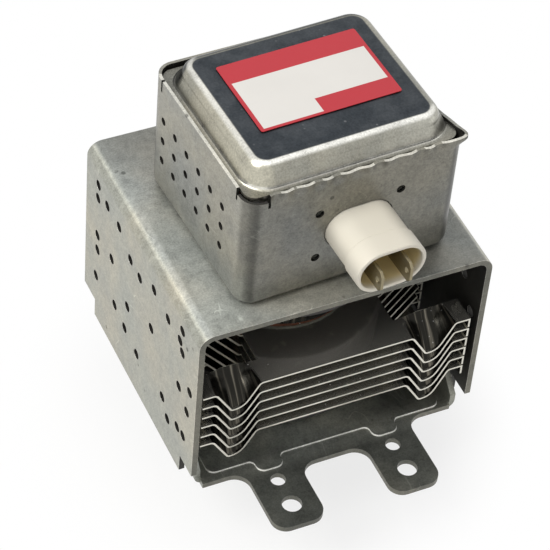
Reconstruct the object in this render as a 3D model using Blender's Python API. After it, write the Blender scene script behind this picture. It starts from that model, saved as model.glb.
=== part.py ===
"""Magnetron of a microwave oven.

Units are metres and +Z is up. The origin is on the tube's axis, at the underside
of the mounting plate. The antenna points down, the filter box stands on top of
the yoke, and the connector and the two mounting ears point to -Y, the front.
"""

import math

import bmesh
import bpy
from mathutils import Matrix, Vector

# Gap between pieces that seat on each other, and between a piece and its bore
CLEARANCE = 0.0003
ROOM = 0.001

# Yoke, the folded frame round the tube
YOKE_WIDTH = 0.0800
YOKE_DEPTH = 0.0739
YOKE_SHEET = 0.0016
YOKE_BEND = 0.0024
YOKE_SIDE_SHIFT = 0.00135
YOKE_FOOT = 0.0005
YOKE_STEM_BORE = 0.0120
YOKE_NOTCH_LENGTH = 0.0075
YOKE_NOTCH_TOP = 0.0062
YOKE_HOLE_RADIUS = 0.0015
# Wall holes, as the distance behind the front edge and the height
YOKE_UPPER_HOLES = (
    (0.0096, 0.0428), (0.0102, 0.0500), (0.0113, 0.0456), (0.0190, 0.0456), (0.0282, 0.0470),
    (0.0373, 0.0425), (0.0436, 0.0431), (0.0516, 0.0474), (0.0596, 0.0475), (0.0658, 0.0493),
    (0.0659, 0.0446),
)
YOKE_MIDDLE_HOLES = (
    (0.0041, 0.0339), (0.0051, 0.0256), (0.0106, 0.0295), (0.0289, 0.0323), (0.0445, 0.0249),
    (0.0558, 0.0318), (0.0655, 0.0260), (0.0657, 0.0312),
)
YOKE_LOWER_HOLES = (
    (0.0065, 0.0150), (0.0102, 0.0145), (0.0163, 0.0110), (0.0201, 0.0155), (0.0374, 0.0140),
    (0.0458, 0.0156), (0.0529, 0.0173), (0.0661, 0.0158),
)

# Mounting plate
PLATE_SHEET = 0.0016
PLATE_BEND = 0.0010
PLATE_RAISE = 0.0010
PLATE_RIGHT_GAP = 0.0015
PLATE_FLANGE_HEIGHT = 0.0110
PLATE_FLANGE_NOSE = 0.0048
PLATE_RIGHT_SETBACK = 0.0015
PLATE_FLANGE_SETBACK = 0.0019
PLATE_MIDDLE_REACH = 0.0029
PLATE_BORE = 0.0115
EAR_SPACING = 0.0329
EAR_WIDTH = 0.0142
EAR_LENGTH = 0.0209
EAR_CORNER = 0.0040
EAR_ROOT_FILLET = 0.0045
EAR_BOLT_RADIUS = 0.00265
EAR_BOLT_INSET = 0.0069
EAR_PILOT_RADIUS = 0.0020
EAR_PILOT_INSET = 0.01545
RAISE_FRONT_BORDER = 0.0022
RAISE_SIDE_BORDER = 0.0025
RAISE_BACK_BORDER = 0.0050
RAISE_STEP = 0.0010
RAISE_BULGE_WIDTH = 0.0076
RAISE_BULGE_REACH = 0.0041
RAISE_CORNER = 0.0018

# Magnets
MAGNET_RADIUS = 0.0275
MAGNET_BORE = 0.0110
MAGNET_THICKNESS = 0.0125
MAGNET_CHAMFER = 0.0005

# Tube
ANODE_RADIUS = 0.0195
ANODE_WALL = 0.0020
ANODE_HEIGHT = 0.0210
VANE_COUNT = 10
VANE_THICKNESS = 0.0018
VANE_HEIGHT = 0.0095
VANE_TIP_RADIUS = 0.0046
STRAP_INNER_RADIUS = 0.0062
STRAP_OUTER_RADIUS = 0.0076
STRAP_WIDTH = 0.0008
STRAP_HEIGHT = 0.0010
POLE_SHEET = 0.0008
POLE_CONE_RADIUS = 0.0120
POLE_CONE_DEPTH = 0.0037
POLE_BORE = 0.0048
POLE_LEAD_HOLE = 0.0020
POLE_LEAD_HOLE_OFFSET = 0.0094
SEAL_RADIUS = 0.0165
SEAL_SHEET = 0.0009
SEAL_STEP_RADIUS = 0.0118
SEAL_STEP_HEIGHT = 0.0010
PIPE_RADIUS = 0.0098
PIPE_WALL = 0.0008
PIPE_RISE = 0.0030
PIPE_DROP = 0.0040
FILAMENT_RADIUS = 0.0019
FILAMENT_WIRE = 0.00025
FILAMENT_LENGTH = 0.0086
FILAMENT_TURNS = 5
HAT_RADIUS = 0.0036
HAT_THICKNESS = 0.0008
LEAD_RADIUS = 0.00075
SIDE_LEAD_OFFSET = 0.0030
STEM_CERAMIC_RADIUS = 0.0094
STEM_CERAMIC_HEIGHT = 0.0120
TERMINAL_SHEET = 0.0008
TERMINAL_WIDTH = 0.0050
TERMINAL_REACH = 0.0090
TERMINAL_SPLIT = 0.0003

# Antenna end
GASKET_RADIUS = 0.0145
GASKET_HEIGHT = 0.0034
GASKET_EDGE = 0.0010
ANTENNA_CERAMIC_RADIUS = 0.0090
ANTENNA_CERAMIC_WALL = 0.0015
ANTENNA_CERAMIC_HEIGHT = 0.0100
CAP_RADIUS = 0.0080
CAP_WALL = 0.0006
CAP_HEIGHT = 0.0104
CAP_EDGE = 0.0012
ANTENNA_LEAD_RADIUS = 0.0008
ANTENNA_LEAD_OFFSET = 0.0100
ANTENNA_LEAD_RUN = 0.0020
ANTENNA_LEAD_KNEE = 0.0059
ANTENNA_LEAD_CENTRING = 0.0060

# Cooling fins
FIN_COUNT = 6
FIN_SHEET = 0.0006
FIN_PITCH = 0.00354
FIN_TOP_DROP = 0.0045
FIN_RIGHT_GAP = 0.00235
FIN_RIGHT_LIFT = 0.0012
FIN_COMB_DROP = 0.0028
FIN_COLLAR_HEIGHT = 0.0024
TROUGH_BORDER = 0.0036
TROUGH_HALF_WIDTH = 0.0060
TROUGH_FLOOR_HALF_WIDTH = 0.0016
TROUGH_DEPTH = 0.0072
TROUGH_HALFWAY_DEPTH = 0.0043
TONGUE_LENGTH = 0.0075
WING_HINGE_BORDER = 0.0022
WING_LENGTH = 0.0080
WING_COLLAR_GAP = 0.0050
WING_ANGLE = math.radians(50)

# Filter box
BOX_CENTRE = (0.00225, -0.00415)
BOX_TURN = 0.049
BOX_WIDTH = 0.05944
BOX_DEPTH = 0.0526
BOX_HEIGHT = 0.0363
BOX_SHEET = 0.0008
BOX_CORNER = 0.0048
BOX_FOOT_RADIUS = 0.0028
BOX_STEM_BORE = 0.0140
VENT_RADIUS = 0.00115
VENT_COLUMNS = 6
VENT_ROWS = 3
VENT_PITCH = 0.0065
VENT_FIRST_COLUMN = -0.0138
VENT_FIRST_ROW = 0.0115
RIPPLE_COUNT = 9
RIPPLE_DEPTH = 0.0003
RIPPLE_BAND = 0.0022
RIM_SLIT_WIDTH = 0.0007
RIM_SLIT_DEPTH = 0.0035
RIM_CORNER_DROP = 0.0020
RIM_CORNER_LENGTH = 0.0062

# Lid
LID_SHEET = 0.0008
LID_FLANGE_DROP = 0.0008
LID_FLANGE_WIDTH = 0.0016
LID_DOME_HEIGHT = 0.0060
LID_TOP_RADIUS = 0.0025
LID_CORNER = 0.0085
LABEL_WIDTH = 0.0382
LABEL_DEPTH = 0.0249
LABEL_CENTRE = (0.0005, 0.00195)
LABEL_THICKNESS = 0.00015
LABEL_GAP = 0.0002

# Connector and capacitor
PLUG_CENTRE = (0.0014, 0.0182)
PLUG_WIDTH = 0.0190
PLUG_HEIGHT = 0.0128
PLUG_STEP = 0.00035
PLUG_REACH = 0.0168
PLUG_FRONT_PART = 0.0062
PLUG_WALL = 0.0011
PLUG_FLOOR = 0.0024
BLADE_SPACING = 0.0079
BLADE_SIDE_SHIFT = -0.00065
BLADE_WIDTH = 0.00635
BLADE_THICKNESS = 0.0008
BLADE_PROUD = 0.0030
BLADE_TIP_CHAMFER = 0.0012
BLADE_EYE_RADIUS = 0.00085
BLADE_EYE_INSET = 0.0017
BLADE_TAIL = 0.0040
CAP_PLATE_SHEET = 0.0010
CAP_PLATE_WIDTH = 0.0290
CAP_PLATE_HEIGHT = 0.0205
CAP_PLATE_CORNER = 0.0030
CAP_BODY_WIDTH = 0.0250
CAP_BODY_HEIGHT = 0.0150
CAP_BODY_LENGTH = 0.0110
STAKE_SPACING_X = 0.0222
STAKE_SPACING_Z = 0.0147
STAKE_RADIUS = 0.0012
STAKE_SIDE_SHIFT = -0.0002

# Choke coils
CHOKE_SPACING = 0.0340
CHOKE_RADIUS = 0.0042
CHOKE_WIRE = 0.0007
CHOKE_LENGTH = 0.0160
CHOKE_TURNS = 7
CORE_LENGTH = 0.0220
CHOKE_LEAD_RUN = 0.0020
CHOKE_LANDING = 0.00675

# Round pieces, as the number of flat sides
ROUND_SIDES = 32
SMALL_SIDES = 16
HOLE_SIDES = 8
ARC_STEPS = 3
HELIX_STEPS = 8

# Heights that follow from the sizes above
PLATE_TOP = PLATE_SHEET + PLATE_RAISE
LOWER_MAGNET_Z = PLATE_TOP + CLEARANCE
LOWER_SEAL_Z = LOWER_MAGNET_Z + MAGNET_THICKNESS + CLEARANCE
LOWER_POLE_Z = LOWER_SEAL_Z + SEAL_SHEET + CLEARANCE
ANODE_Z = LOWER_POLE_Z + POLE_SHEET + CLEARANCE
ANODE_TOP = ANODE_Z + ANODE_HEIGHT
ANODE_MIDDLE = ANODE_Z + ANODE_HEIGHT / 2
UPPER_POLE_Z = ANODE_TOP + CLEARANCE
UPPER_SEAL_Z = UPPER_POLE_Z + POLE_SHEET + CLEARANCE
UPPER_MAGNET_Z = UPPER_SEAL_Z + SEAL_SHEET + SEAL_STEP_HEIGHT + CLEARANCE
YOKE_UNDERSIDE = UPPER_MAGNET_Z + MAGNET_THICKNESS + CLEARANCE
YOKE_TOP = YOKE_UNDERSIDE + YOKE_SHEET
BOX_Z = YOKE_TOP + CLEARANCE
BOX_RIM = BOX_Z + BOX_HEIGHT
LID_TOP = BOX_RIM - LID_FLANGE_DROP + LID_DOME_HEIGHT
PIPE_TOP = YOKE_TOP + PIPE_RISE
STEM_Z = PIPE_TOP + CLEARANCE
STEM_TOP = STEM_Z + STEM_CERAMIC_HEIGHT
PLUG_Z = BOX_Z + PLUG_CENTRE[1]

# Sides of the yoke and the plate
YOKE_LEFT = YOKE_SIDE_SHIFT - YOKE_WIDTH / 2
YOKE_RIGHT = YOKE_SIDE_SHIFT + YOKE_WIDTH / 2
YOKE_FRONT = -YOKE_DEPTH / 2
YOKE_BACK = YOKE_DEPTH / 2
PLATE_LEFT = YOKE_LEFT + YOKE_SHEET + CLEARANCE
PLATE_RIGHT = YOKE_RIGHT - YOKE_SHEET - PLATE_RIGHT_GAP

# Sides of the fins, and their wings' hinges, which keep clear of the collar
FIN_RIGHT = YOKE_RIGHT - YOKE_SHEET - FIN_RIGHT_GAP
TROUGH_OFFSET = -PLATE_LEFT - TROUGH_BORDER - TROUGH_HALF_WIDTH
WING_HINGE = TROUGH_OFFSET - TROUGH_HALF_WIDTH - WING_HINGE_BORDER
COLLAR_RADIUS = ANODE_RADIUS + CLEARANCE + FIN_SHEET
COLLAR_BESIDE_HINGE = math.sqrt(max(COLLAR_RADIUS ** 2 - WING_HINGE ** 2, 0.0))
WING_END = COLLAR_BESIDE_HINGE + WING_COLLAR_GAP

# Colour, roughness and metallic value of each finish
FINISHES = {
    "zinc_steel": ((0.56, 0.56, 0.54), 0.42, 1.0),
    "tin_steel": ((0.62, 0.62, 0.60), 0.36, 1.0),
    "aluminium": ((0.80, 0.79, 0.75), 0.25, 1.0),
    "copper": ((0.72, 0.40, 0.27), 0.35, 1.0),
    "nickel": ((0.70, 0.68, 0.64), 0.15, 1.0),
    "molybdenum": ((0.45, 0.45, 0.47), 0.40, 1.0),
    "ferrite": ((0.07, 0.07, 0.08), 0.65, 0.0),
    "white_ceramic": ((0.85, 0.83, 0.80), 0.50, 0.0),
    "cream_plastic": ((0.83, 0.78, 0.62), 0.40, 0.0),
    "tan_resin": ((0.55, 0.42, 0.24), 0.50, 0.0),
    "enamelled_wire": ((0.45, 0.17, 0.07), 0.35, 0.0),
    "paper_label": ((0.86, 0.84, 0.81), 0.45, 0.0),
    "wire_mesh": ((0.50, 0.50, 0.48), 0.50, 1.0),
}


def clear_scene():
    for obj in list(bpy.data.objects):
        bpy.data.objects.remove(obj, do_unlink=True)


def finish_material(name, finish):
    colour, roughness, metallic = FINISHES[finish]
    mat = bpy.data.materials.new(name + "_" + finish)
    mat.use_nodes = True
    shader = mat.node_tree.nodes["Principled BSDF"]
    shader.inputs["Base Color"].default_value = (*colour, 1.0)
    shader.inputs["Roughness"].default_value = roughness
    shader.inputs["Metallic"].default_value = metallic
    return mat


def link(obj, parent=None):
    bpy.context.scene.collection.objects.link(obj)
    obj.parent = parent
    return obj


def mesh_object(name, bm, finish, parent=None):
    """One sub-part from a bmesh, shaded smooth up to thirty degrees."""
    bmesh.ops.remove_doubles(bm, verts=bm.verts, dist=1e-7)
    bmesh.ops.recalc_face_normals(bm, faces=bm.faces)
    mesh = bpy.data.meshes.new(name)
    bm.to_mesh(mesh)
    bm.free()
    mesh.shade_smooth()
    mesh.set_sharp_from_angle(angle=math.radians(30))
    mesh.materials.append(finish_material(name, finish))
    return link(bpy.data.objects.new(name, mesh), parent)


def tool_object(name, bm, parent=None):
    """A shape that only cuts or joins, and is no sub-part."""
    bmesh.ops.recalc_face_normals(bm, faces=bm.faces)
    mesh = bpy.data.meshes.new(name)
    bm.to_mesh(mesh)
    bm.free()
    obj = link(bpy.data.objects.new(name, mesh), parent)
    obj.hide_render = True
    obj.display_type = "WIRE"
    return obj


def combine(obj, tool, operation):
    change = obj.modifiers.new(tool.name, "BOOLEAN")
    change.operation = operation
    change.object = tool
    change.solver = "EXACT"


def cut(obj, tool):
    combine(obj, tool, "DIFFERENCE")


def join(obj, tool):
    combine(obj, tool, "UNION")


def along_x(u, v, height):
    return Vector((height, u, v))


def along_y(u, v, height):
    return Vector((u, height, v))


def along_z(u, v, height):
    return Vector((u, v, height))


def prism(bm, outline, low, high, place=along_z):
    """Extrude a closed outline from one height to another along an axis."""
    verts = [bm.verts.new(place(u, v, low)) for u, v in outline]
    face = bm.faces.new(verts)
    result = bmesh.ops.extrude_face_region(bm, geom=[face])
    moved = [item for item in result["geom"] if isinstance(item, bmesh.types.BMVert)]
    bmesh.ops.translate(bm, verts=moved, vec=place(0, 0, high) - place(0, 0, low))
    return bm


def circle(radius, sides, centre=(0.0, 0.0)):
    turn = 2 * math.pi / sides
    return [
        (centre[0] + radius * math.cos(turn * k), centre[1] + radius * math.sin(turn * k))
        for k in range(sides)
    ]


def rectangle(left, low, right, high):
    return [(left, low), (right, low), (right, high), (left, high)]


def corner_arc(before, corner, after, radius, steps=ARC_STEPS):
    """Points of the arc that rounds one corner of a path."""
    corner = Vector(corner)
    come = (Vector(before) - corner).normalized()
    leave = (Vector(after) - corner).normalized()
    half = come.angle(leave) / 2
    middle = corner + (come + leave).normalized() * radius / math.sin(half)
    first = corner + come * radius / math.tan(half) - middle
    turning = come.x * leave.y - come.y * leave.x
    sweep = math.copysign(math.pi - 2 * half, -turning)
    points = []
    for k in range(steps + 1):
        spoke = first.copy()
        spoke.rotate(Matrix.Rotation(sweep * k / steps, 2))
        points.append(tuple(middle + spoke))
    return points


def rounded_outline(corners):
    """A closed outline from corners given as (x, y, radius)."""
    points = []
    for index, (x, y, radius) in enumerate(corners):
        before = corners[index - 1][:2]
        after = corners[(index + 1) % len(corners)][:2]
        if radius > 0:
            points += corner_arc(before, (x, y), after, radius)
        else:
            points.append((x, y))
    return points


def bent_path(path, radius):
    """An open path whose inner corners are rounded."""
    points = [path[0]]
    for before, corner, after in zip(path, path[1:], path[2:]):
        points += corner_arc(before, corner, after, radius)
    return points + [path[-1]]


def strip_outline(path, thickness):
    """The closed section of a sheet whose middle follows a path."""
    left = []
    right = []
    for index, point in enumerate(path):
        here = Vector(point)
        come = here - Vector(path[index - 1]) if index else Vector(path[1]) - here
        leave = Vector(path[index + 1]) - here if index + 1 < len(path) else come
        come.normalize()
        leave.normalize()
        side = Vector((-(come.y + leave.y), come.x + leave.x)).normalized()
        reach = thickness / 2 / side.dot(Vector((-come.y, come.x)))
        left.append(tuple(here + side * reach))
        right.append(tuple(here - side * reach))
    return left + right[::-1]


def turned(profile, sides, closed=True):
    """Spin a profile of (radius, height) points round the Z axis."""
    bm = bmesh.new()
    verts = [bm.verts.new((radius, 0.0, height)) for radius, height in profile]
    edges = [bm.edges.new(pair) for pair in zip(verts, verts[1:])]
    if closed:
        edges.append(bm.edges.new((verts[-1], verts[0])))
    bmesh.ops.spin(
        bm, geom=verts + edges, cent=(0, 0, 0), axis=(0, 0, 1),
        angle=2 * math.pi, steps=sides, use_merge=True,
    )
    bmesh.ops.remove_doubles(bm, verts=bm.verts, dist=1e-7)
    return bm


def ring(inner, outer, low, high, chamfer=0.0):
    """Profile of a ring of rectangular section, with its outer edges chamfered."""
    if chamfer == 0.0:
        return [(inner, low), (outer, low), (outer, high), (inner, high)]
    return [
        (inner + chamfer, low), (outer - chamfer, low), (outer, low + chamfer),
        (outer, high - chamfer), (outer - chamfer, high), (inner + chamfer, high),
        (inner, high - chamfer), (inner, low + chamfer),
    ]


def loft(bm, loops):
    """Skin a row of loops with the same number of points, and cap both ends."""
    rows = [[bm.verts.new(point) for point in loop] for loop in loops]
    count = len(rows[0])
    for low, high in zip(rows, rows[1:]):
        for k in range(count):
            after = (k + 1) % count
            bm.faces.new((low[k], low[after], high[after], high[k]))
    bm.faces.new(rows[0][::-1])
    bm.faces.new(rows[-1])
    return bm


def merge_flat(bm):
    """Make one face of neighbours that lie in one plane."""
    bmesh.ops.recalc_face_normals(bm, faces=bm.faces)
    bmesh.ops.dissolve_limit(
        bm, angle_limit=math.radians(0.5), verts=bm.verts, edges=bm.edges, delimit=set(),
    )


def wire_object(name, points, radius, finish, parent=None):
    """A round wire along a row of points."""
    curve = bpy.data.curves.new(name, "CURVE")
    curve.dimensions = "3D"
    curve.bevel_depth = radius
    curve.bevel_resolution = 1
    curve.use_fill_caps = True
    spline = curve.splines.new("POLY")
    spline.points.add(len(points) - 1)
    for target, point in zip(spline.points, points):
        target.co = (*point, 1.0)
    curve.materials.append(finish_material(name, finish))
    return link(bpy.data.objects.new(name, curve), parent)


def hole_tools(name, centres, radius, low, high, place, sides=HOLE_SIDES, parent=None):
    """One cutter made of a round bar through each centre."""
    bm = bmesh.new()
    for centre in centres:
        prism(bm, circle(radius, sides, centre), low, high, place)
    return tool_object(name, bm, parent)


def make_yoke():
    """A sheet folded into an upside-down U, with notched feet and perforated walls."""
    half = YOKE_SHEET / 2
    path = [
        (YOKE_LEFT + half, YOKE_FOOT), (YOKE_LEFT + half, YOKE_TOP - half),
        (YOKE_RIGHT - half, YOKE_TOP - half), (YOKE_RIGHT - half, YOKE_FOOT),
    ]
    outline = strip_outline(bent_path(path, YOKE_BEND + half), YOKE_SHEET)
    bm = prism(bmesh.new(), outline, YOKE_FRONT, YOKE_BACK, along_y)
    yoke = mesh_object("yoke", bm, "zinc_steel")
    cut(yoke, hole_tools(
        "yoke_stem_bore", [(0, 0)], YOKE_STEM_BORE,
        YOKE_UNDERSIDE - ROOM, YOKE_TOP + ROOM, along_z, ROUND_SIDES,
    ))
    holes = YOKE_UPPER_HOLES + YOKE_MIDDLE_HOLES + YOKE_LOWER_HOLES
    centres = [(YOKE_FRONT + behind, height) for behind, height in holes]
    cut(yoke, hole_tools(
        "yoke_wall_holes", centres, YOKE_HOLE_RADIUS,
        YOKE_LEFT - ROOM, YOKE_RIGHT + ROOM, along_x,
    ))
    notches = bmesh.new()
    for edge, inner in (
        (YOKE_FRONT - ROOM, YOKE_FRONT + YOKE_NOTCH_LENGTH),
        (YOKE_BACK + ROOM, YOKE_BACK - YOKE_NOTCH_LENGTH),
    ):
        outline = rectangle(min(edge, inner), YOKE_FOOT - ROOM, max(edge, inner), YOKE_NOTCH_TOP)
        prism(notches, outline, YOKE_LEFT - ROOM, YOKE_RIGHT + ROOM, along_x)
    cut(yoke, tool_object("yoke_foot_notches", notches))


def ear_centres():
    return (-EAR_SPACING / 2, EAR_SPACING / 2)


def plate_outline():
    """Outline of the flat plate with its two ears, from the back left corner round."""
    left = PLATE_LEFT + PLATE_SHEET
    right = PLATE_RIGHT - PLATE_SHEET
    between = YOKE_FRONT - PLATE_MIDDLE_REACH
    tip = YOKE_FRONT - EAR_LENGTH
    half = EAR_WIDTH / 2
    first, second = ear_centres()
    beside = YOKE_FRONT + PLATE_RIGHT_SETBACK
    return rounded_outline([
        (left, YOKE_BACK, 0), (left, YOKE_FRONT, 0),
        (first - half, YOKE_FRONT, EAR_ROOT_FILLET), (first - half, tip, EAR_CORNER),
        (first + half, tip, EAR_CORNER), (first + half, between, EAR_ROOT_FILLET),
        (second - half, between, EAR_ROOT_FILLET), (second - half, tip, EAR_CORNER),
        (second + half, tip, EAR_CORNER), (second + half, beside, EAR_ROOT_FILLET),
        (right, beside, 0), (right, YOKE_BACK, 0),
    ])


def raise_outline(inset):
    """Outline of the plate's raised middle, with a bulge in front of each ear."""
    left = PLATE_LEFT + PLATE_SHEET + RAISE_SIDE_BORDER + inset
    right = PLATE_RIGHT - PLATE_SHEET - RAISE_SIDE_BORDER - inset
    front = YOKE_FRONT + RAISE_FRONT_BORDER + inset
    back = YOKE_BACK - RAISE_BACK_BORDER - inset
    bulge = front - RAISE_BULGE_REACH
    half = RAISE_BULGE_WIDTH / 2 - inset
    corners = [(left, back, RAISE_CORNER), (left, front, RAISE_CORNER)]
    for centre in ear_centres():
        corners += [
            (centre - half, front, RAISE_CORNER), (centre - half, bulge, RAISE_CORNER),
            (centre + half, bulge, RAISE_CORNER), (centre + half, front, RAISE_CORNER),
        ]
    corners += [(right, front, RAISE_CORNER), (right, back, RAISE_CORNER)]
    return rounded_outline(corners)


def make_base_plate():
    """A pressed plate: ears in front, a raised middle and upturned sides."""
    plate = mesh_object(
        "base_plate", prism(bmesh.new(), plate_outline(), 0, PLATE_SHEET), "zinc_steel",
    )
    half = PLATE_SHEET / 2
    front = YOKE_FRONT + PLATE_FLANGE_SETBACK
    for name, outer, inward in (("left", PLATE_LEFT, 1), ("right", PLATE_RIGHT, -1)):
        wall = outer + inward * half
        path = [
            (wall, PLATE_FLANGE_HEIGHT), (wall, half),
            (outer + inward * (PLATE_SHEET + PLATE_BEND + ROOM), half),
        ]
        outline = strip_outline(bent_path(path, PLATE_BEND + half), PLATE_SHEET)
        bm = prism(bmesh.new(), outline, front, YOKE_BACK, along_y)
        join(plate, tool_object("base_plate_" + name + "_flange", bm))
    raised = prism(bmesh.new(), raise_outline(0), half, PLATE_TOP)
    join(plate, tool_object("base_plate_raise", raised))
    pocket = prism(bmesh.new(), raise_outline(RAISE_STEP), -ROOM, PLATE_RAISE)
    cut(plate, tool_object("base_plate_pocket", pocket))
    noses = bmesh.new()
    nose_length = PLATE_FLANGE_HEIGHT - PLATE_FLANGE_NOSE + ROOM
    prism(
        noses,
        [
            (front - ROOM, PLATE_FLANGE_NOSE - ROOM), (front + nose_length, PLATE_FLANGE_HEIGHT + ROOM),
            (front - ROOM, PLATE_FLANGE_HEIGHT + ROOM),
        ],
        PLATE_LEFT - ROOM, PLATE_RIGHT + ROOM, along_x,
    )
    cut(plate, tool_object("base_plate_noses", noses))
    holes = bmesh.new()
    prism(holes, circle(PLATE_BORE, ROUND_SIDES), -ROOM, PLATE_TOP + ROOM)
    tip = YOKE_FRONT - EAR_LENGTH
    for centre in ear_centres():
        bolt = (centre, tip + EAR_BOLT_INSET)
        pilot = (centre, tip + EAR_PILOT_INSET)
        prism(holes, circle(EAR_BOLT_RADIUS, SMALL_SIDES, bolt), -ROOM, PLATE_TOP)
        prism(holes, circle(EAR_PILOT_RADIUS, SMALL_SIDES, pilot), -ROOM, PLATE_TOP)
    cut(plate, tool_object("base_plate_holes", holes))


def make_magnets():
    for name, low in (("magnet_lower", LOWER_MAGNET_Z), ("magnet_upper", UPPER_MAGNET_Z)):
        profile = ring(MAGNET_BORE, MAGNET_RADIUS, low, low + MAGNET_THICKNESS, MAGNET_CHAMFER)
        mesh_object(name, turned(profile, ROUND_SIDES), "ferrite")


def make_anode():
    """A copper cylinder with radial vanes brazed inside."""
    profile = ring(ANODE_RADIUS - ANODE_WALL, ANODE_RADIUS, ANODE_Z, ANODE_TOP)
    anode = mesh_object("anode_block", turned(profile, ROUND_SIDES), "copper")
    vanes = bmesh.new()
    low = ANODE_MIDDLE - VANE_HEIGHT / 2
    reach = ANODE_RADIUS - ANODE_WALL / 2
    for k in range(VANE_COUNT):
        blade = bmesh.new()
        half = VANE_THICKNESS / 2
        prism(blade, rectangle(VANE_TIP_RADIUS, -half, reach, half), low, low + VANE_HEIGHT)
        turn = Matrix.Rotation(2 * math.pi * k / VANE_COUNT, 4, "Z")
        bmesh.ops.transform(blade, matrix=turn, verts=blade.verts)
        mesh = bpy.data.meshes.new("vane")
        blade.to_mesh(mesh)
        blade.free()
        vanes.from_mesh(mesh)
        bpy.data.meshes.remove(mesh)
    join(anode, tool_object("anode_vanes", vanes))
    strap = 0
    top = low + VANE_HEIGHT + CLEARANCE
    bottom = low - CLEARANCE - STRAP_HEIGHT
    for level in (top, bottom):
        for inner in (STRAP_INNER_RADIUS, STRAP_OUTER_RADIUS):
            strap += 1
            profile = ring(inner, inner + STRAP_WIDTH, level, level + STRAP_HEIGHT)
            mesh_object("strap_ring_" + str(strap), turned(profile, SMALL_SIDES), "copper")


def make_poles():
    """A funnel-shaped pole piece at each end of the anode."""
    for name, level, way in (
        ("pole_piece_upper", UPPER_POLE_Z, -1),
        ("pole_piece_lower", LOWER_POLE_Z + POLE_SHEET, 1),
    ):
        far = level - way * POLE_SHEET
        deep = POLE_CONE_DEPTH * way
        profile = [
            (ANODE_RADIUS, level), (ANODE_RADIUS, far), (POLE_CONE_RADIUS, far),
            (POLE_BORE + POLE_SHEET, far + deep), (POLE_BORE, far + deep),
            (POLE_BORE, level + deep), (POLE_BORE + POLE_SHEET, level + deep),
            (POLE_CONE_RADIUS, level),
        ]
        pole = mesh_object(name, turned(profile, ROUND_SIDES), "zinc_steel")
        if way > 0:
            cut(pole, hole_tools(
                "pole_lead_hole", [(POLE_LEAD_HOLE_OFFSET, 0)], POLE_LEAD_HOLE,
                LOWER_POLE_Z - ROOM, ANODE_MIDDLE, along_z,
            ))


def make_seals():
    """Flanged pipes that close the tube, the upper one with its step."""
    inner = PIPE_RADIUS - PIPE_WALL
    low = UPPER_SEAL_Z
    high = low + SEAL_SHEET
    step = high + SEAL_STEP_HEIGHT
    upper = [
        (inner, low), (SEAL_RADIUS, low), (SEAL_RADIUS, high), (SEAL_STEP_RADIUS, high),
        (SEAL_STEP_RADIUS, step), (PIPE_RADIUS, step), (PIPE_RADIUS, PIPE_TOP), (inner, PIPE_TOP),
    ]
    mesh_object("seal_upper", turned(upper, ROUND_SIDES), "nickel")
    top = LOWER_SEAL_Z + SEAL_SHEET
    lower = [
        (inner, -PIPE_DROP), (PIPE_RADIUS, -PIPE_DROP), (PIPE_RADIUS, LOWER_SEAL_Z),
        (SEAL_RADIUS, LOWER_SEAL_Z), (SEAL_RADIUS, top), (inner, top),
    ]
    mesh_object("seal_lower", turned(lower, ROUND_SIDES), "nickel")


def helix(radius, length, turns, place):
    """Points of a coil centred on its axis, placed by a function of (u, v, height)."""
    count = turns * HELIX_STEPS
    points = []
    for k in range(count + 1):
        angle = 2 * math.pi * k / HELIX_STEPS
        height = length * (k / count - 0.5)
        points.append(place(radius * math.cos(angle), radius * math.sin(angle), height))
    return points


def make_cathode():
    """Filament between its end hats, with the two leads up to the terminals."""
    middle = Vector((0, 0, ANODE_MIDDLE))
    coil = [middle + p for p in helix(FILAMENT_RADIUS, FILAMENT_LENGTH, FILAMENT_TURNS, along_z)]
    wire_object("filament", coil, FILAMENT_WIRE, "molybdenum")
    reach = FILAMENT_LENGTH / 2 + FILAMENT_WIRE + CLEARANCE
    hat_low = ANODE_MIDDLE - reach - HAT_THICKNESS
    hat_high = ANODE_MIDDLE + reach
    lower = prism(bmesh.new(), circle(HAT_RADIUS, SMALL_SIDES), hat_low, hat_low + HAT_THICKNESS)
    mesh_object("end_hat_lower", lower, "molybdenum")
    bore = LEAD_RADIUS + CLEARANCE
    upper = ring(bore, HAT_RADIUS, hat_high, hat_high + HAT_THICKNESS)
    mesh_object("end_hat_upper", turned(upper, SMALL_SIDES), "molybdenum")
    centre_low = hat_low + HAT_THICKNESS + CLEARANCE
    side_low = hat_high + HAT_THICKNESS + CLEARANCE
    for name, offset, low in (
        ("centre_lead", 0.0, centre_low), ("side_lead", SIDE_LEAD_OFFSET, side_low),
    ):
        outline = circle(LEAD_RADIUS, HOLE_SIDES, (offset, 0))
        mesh_object(name, prism(bmesh.new(), outline, low, STEM_TOP), "molybdenum")
    stem = mesh_object(
        "cathode_ceramic",
        prism(bmesh.new(), circle(STEM_CERAMIC_RADIUS, ROUND_SIDES), STEM_Z, STEM_TOP),
        "white_ceramic",
    )
    cut(stem, hole_tools(
        "stem_lead_bores", [(0, 0), (SIDE_LEAD_OFFSET, 0)], bore,
        STEM_Z - ROOM, STEM_TOP + ROOM, along_z,
    ))
    half = TERMINAL_WIDTH / 2
    split = SIDE_LEAD_OFFSET / 2
    low = STEM_TOP + CLEARANCE
    for name, left, right in (
        ("cathode_terminal_1", -TERMINAL_REACH, split - TERMINAL_SPLIT),
        ("cathode_terminal_2", split + TERMINAL_SPLIT, TERMINAL_REACH),
    ):
        outline = rectangle(left, -half, right, half)
        mesh_object(name, prism(bmesh.new(), outline, low, low + TERMINAL_SHEET), "nickel")


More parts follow.
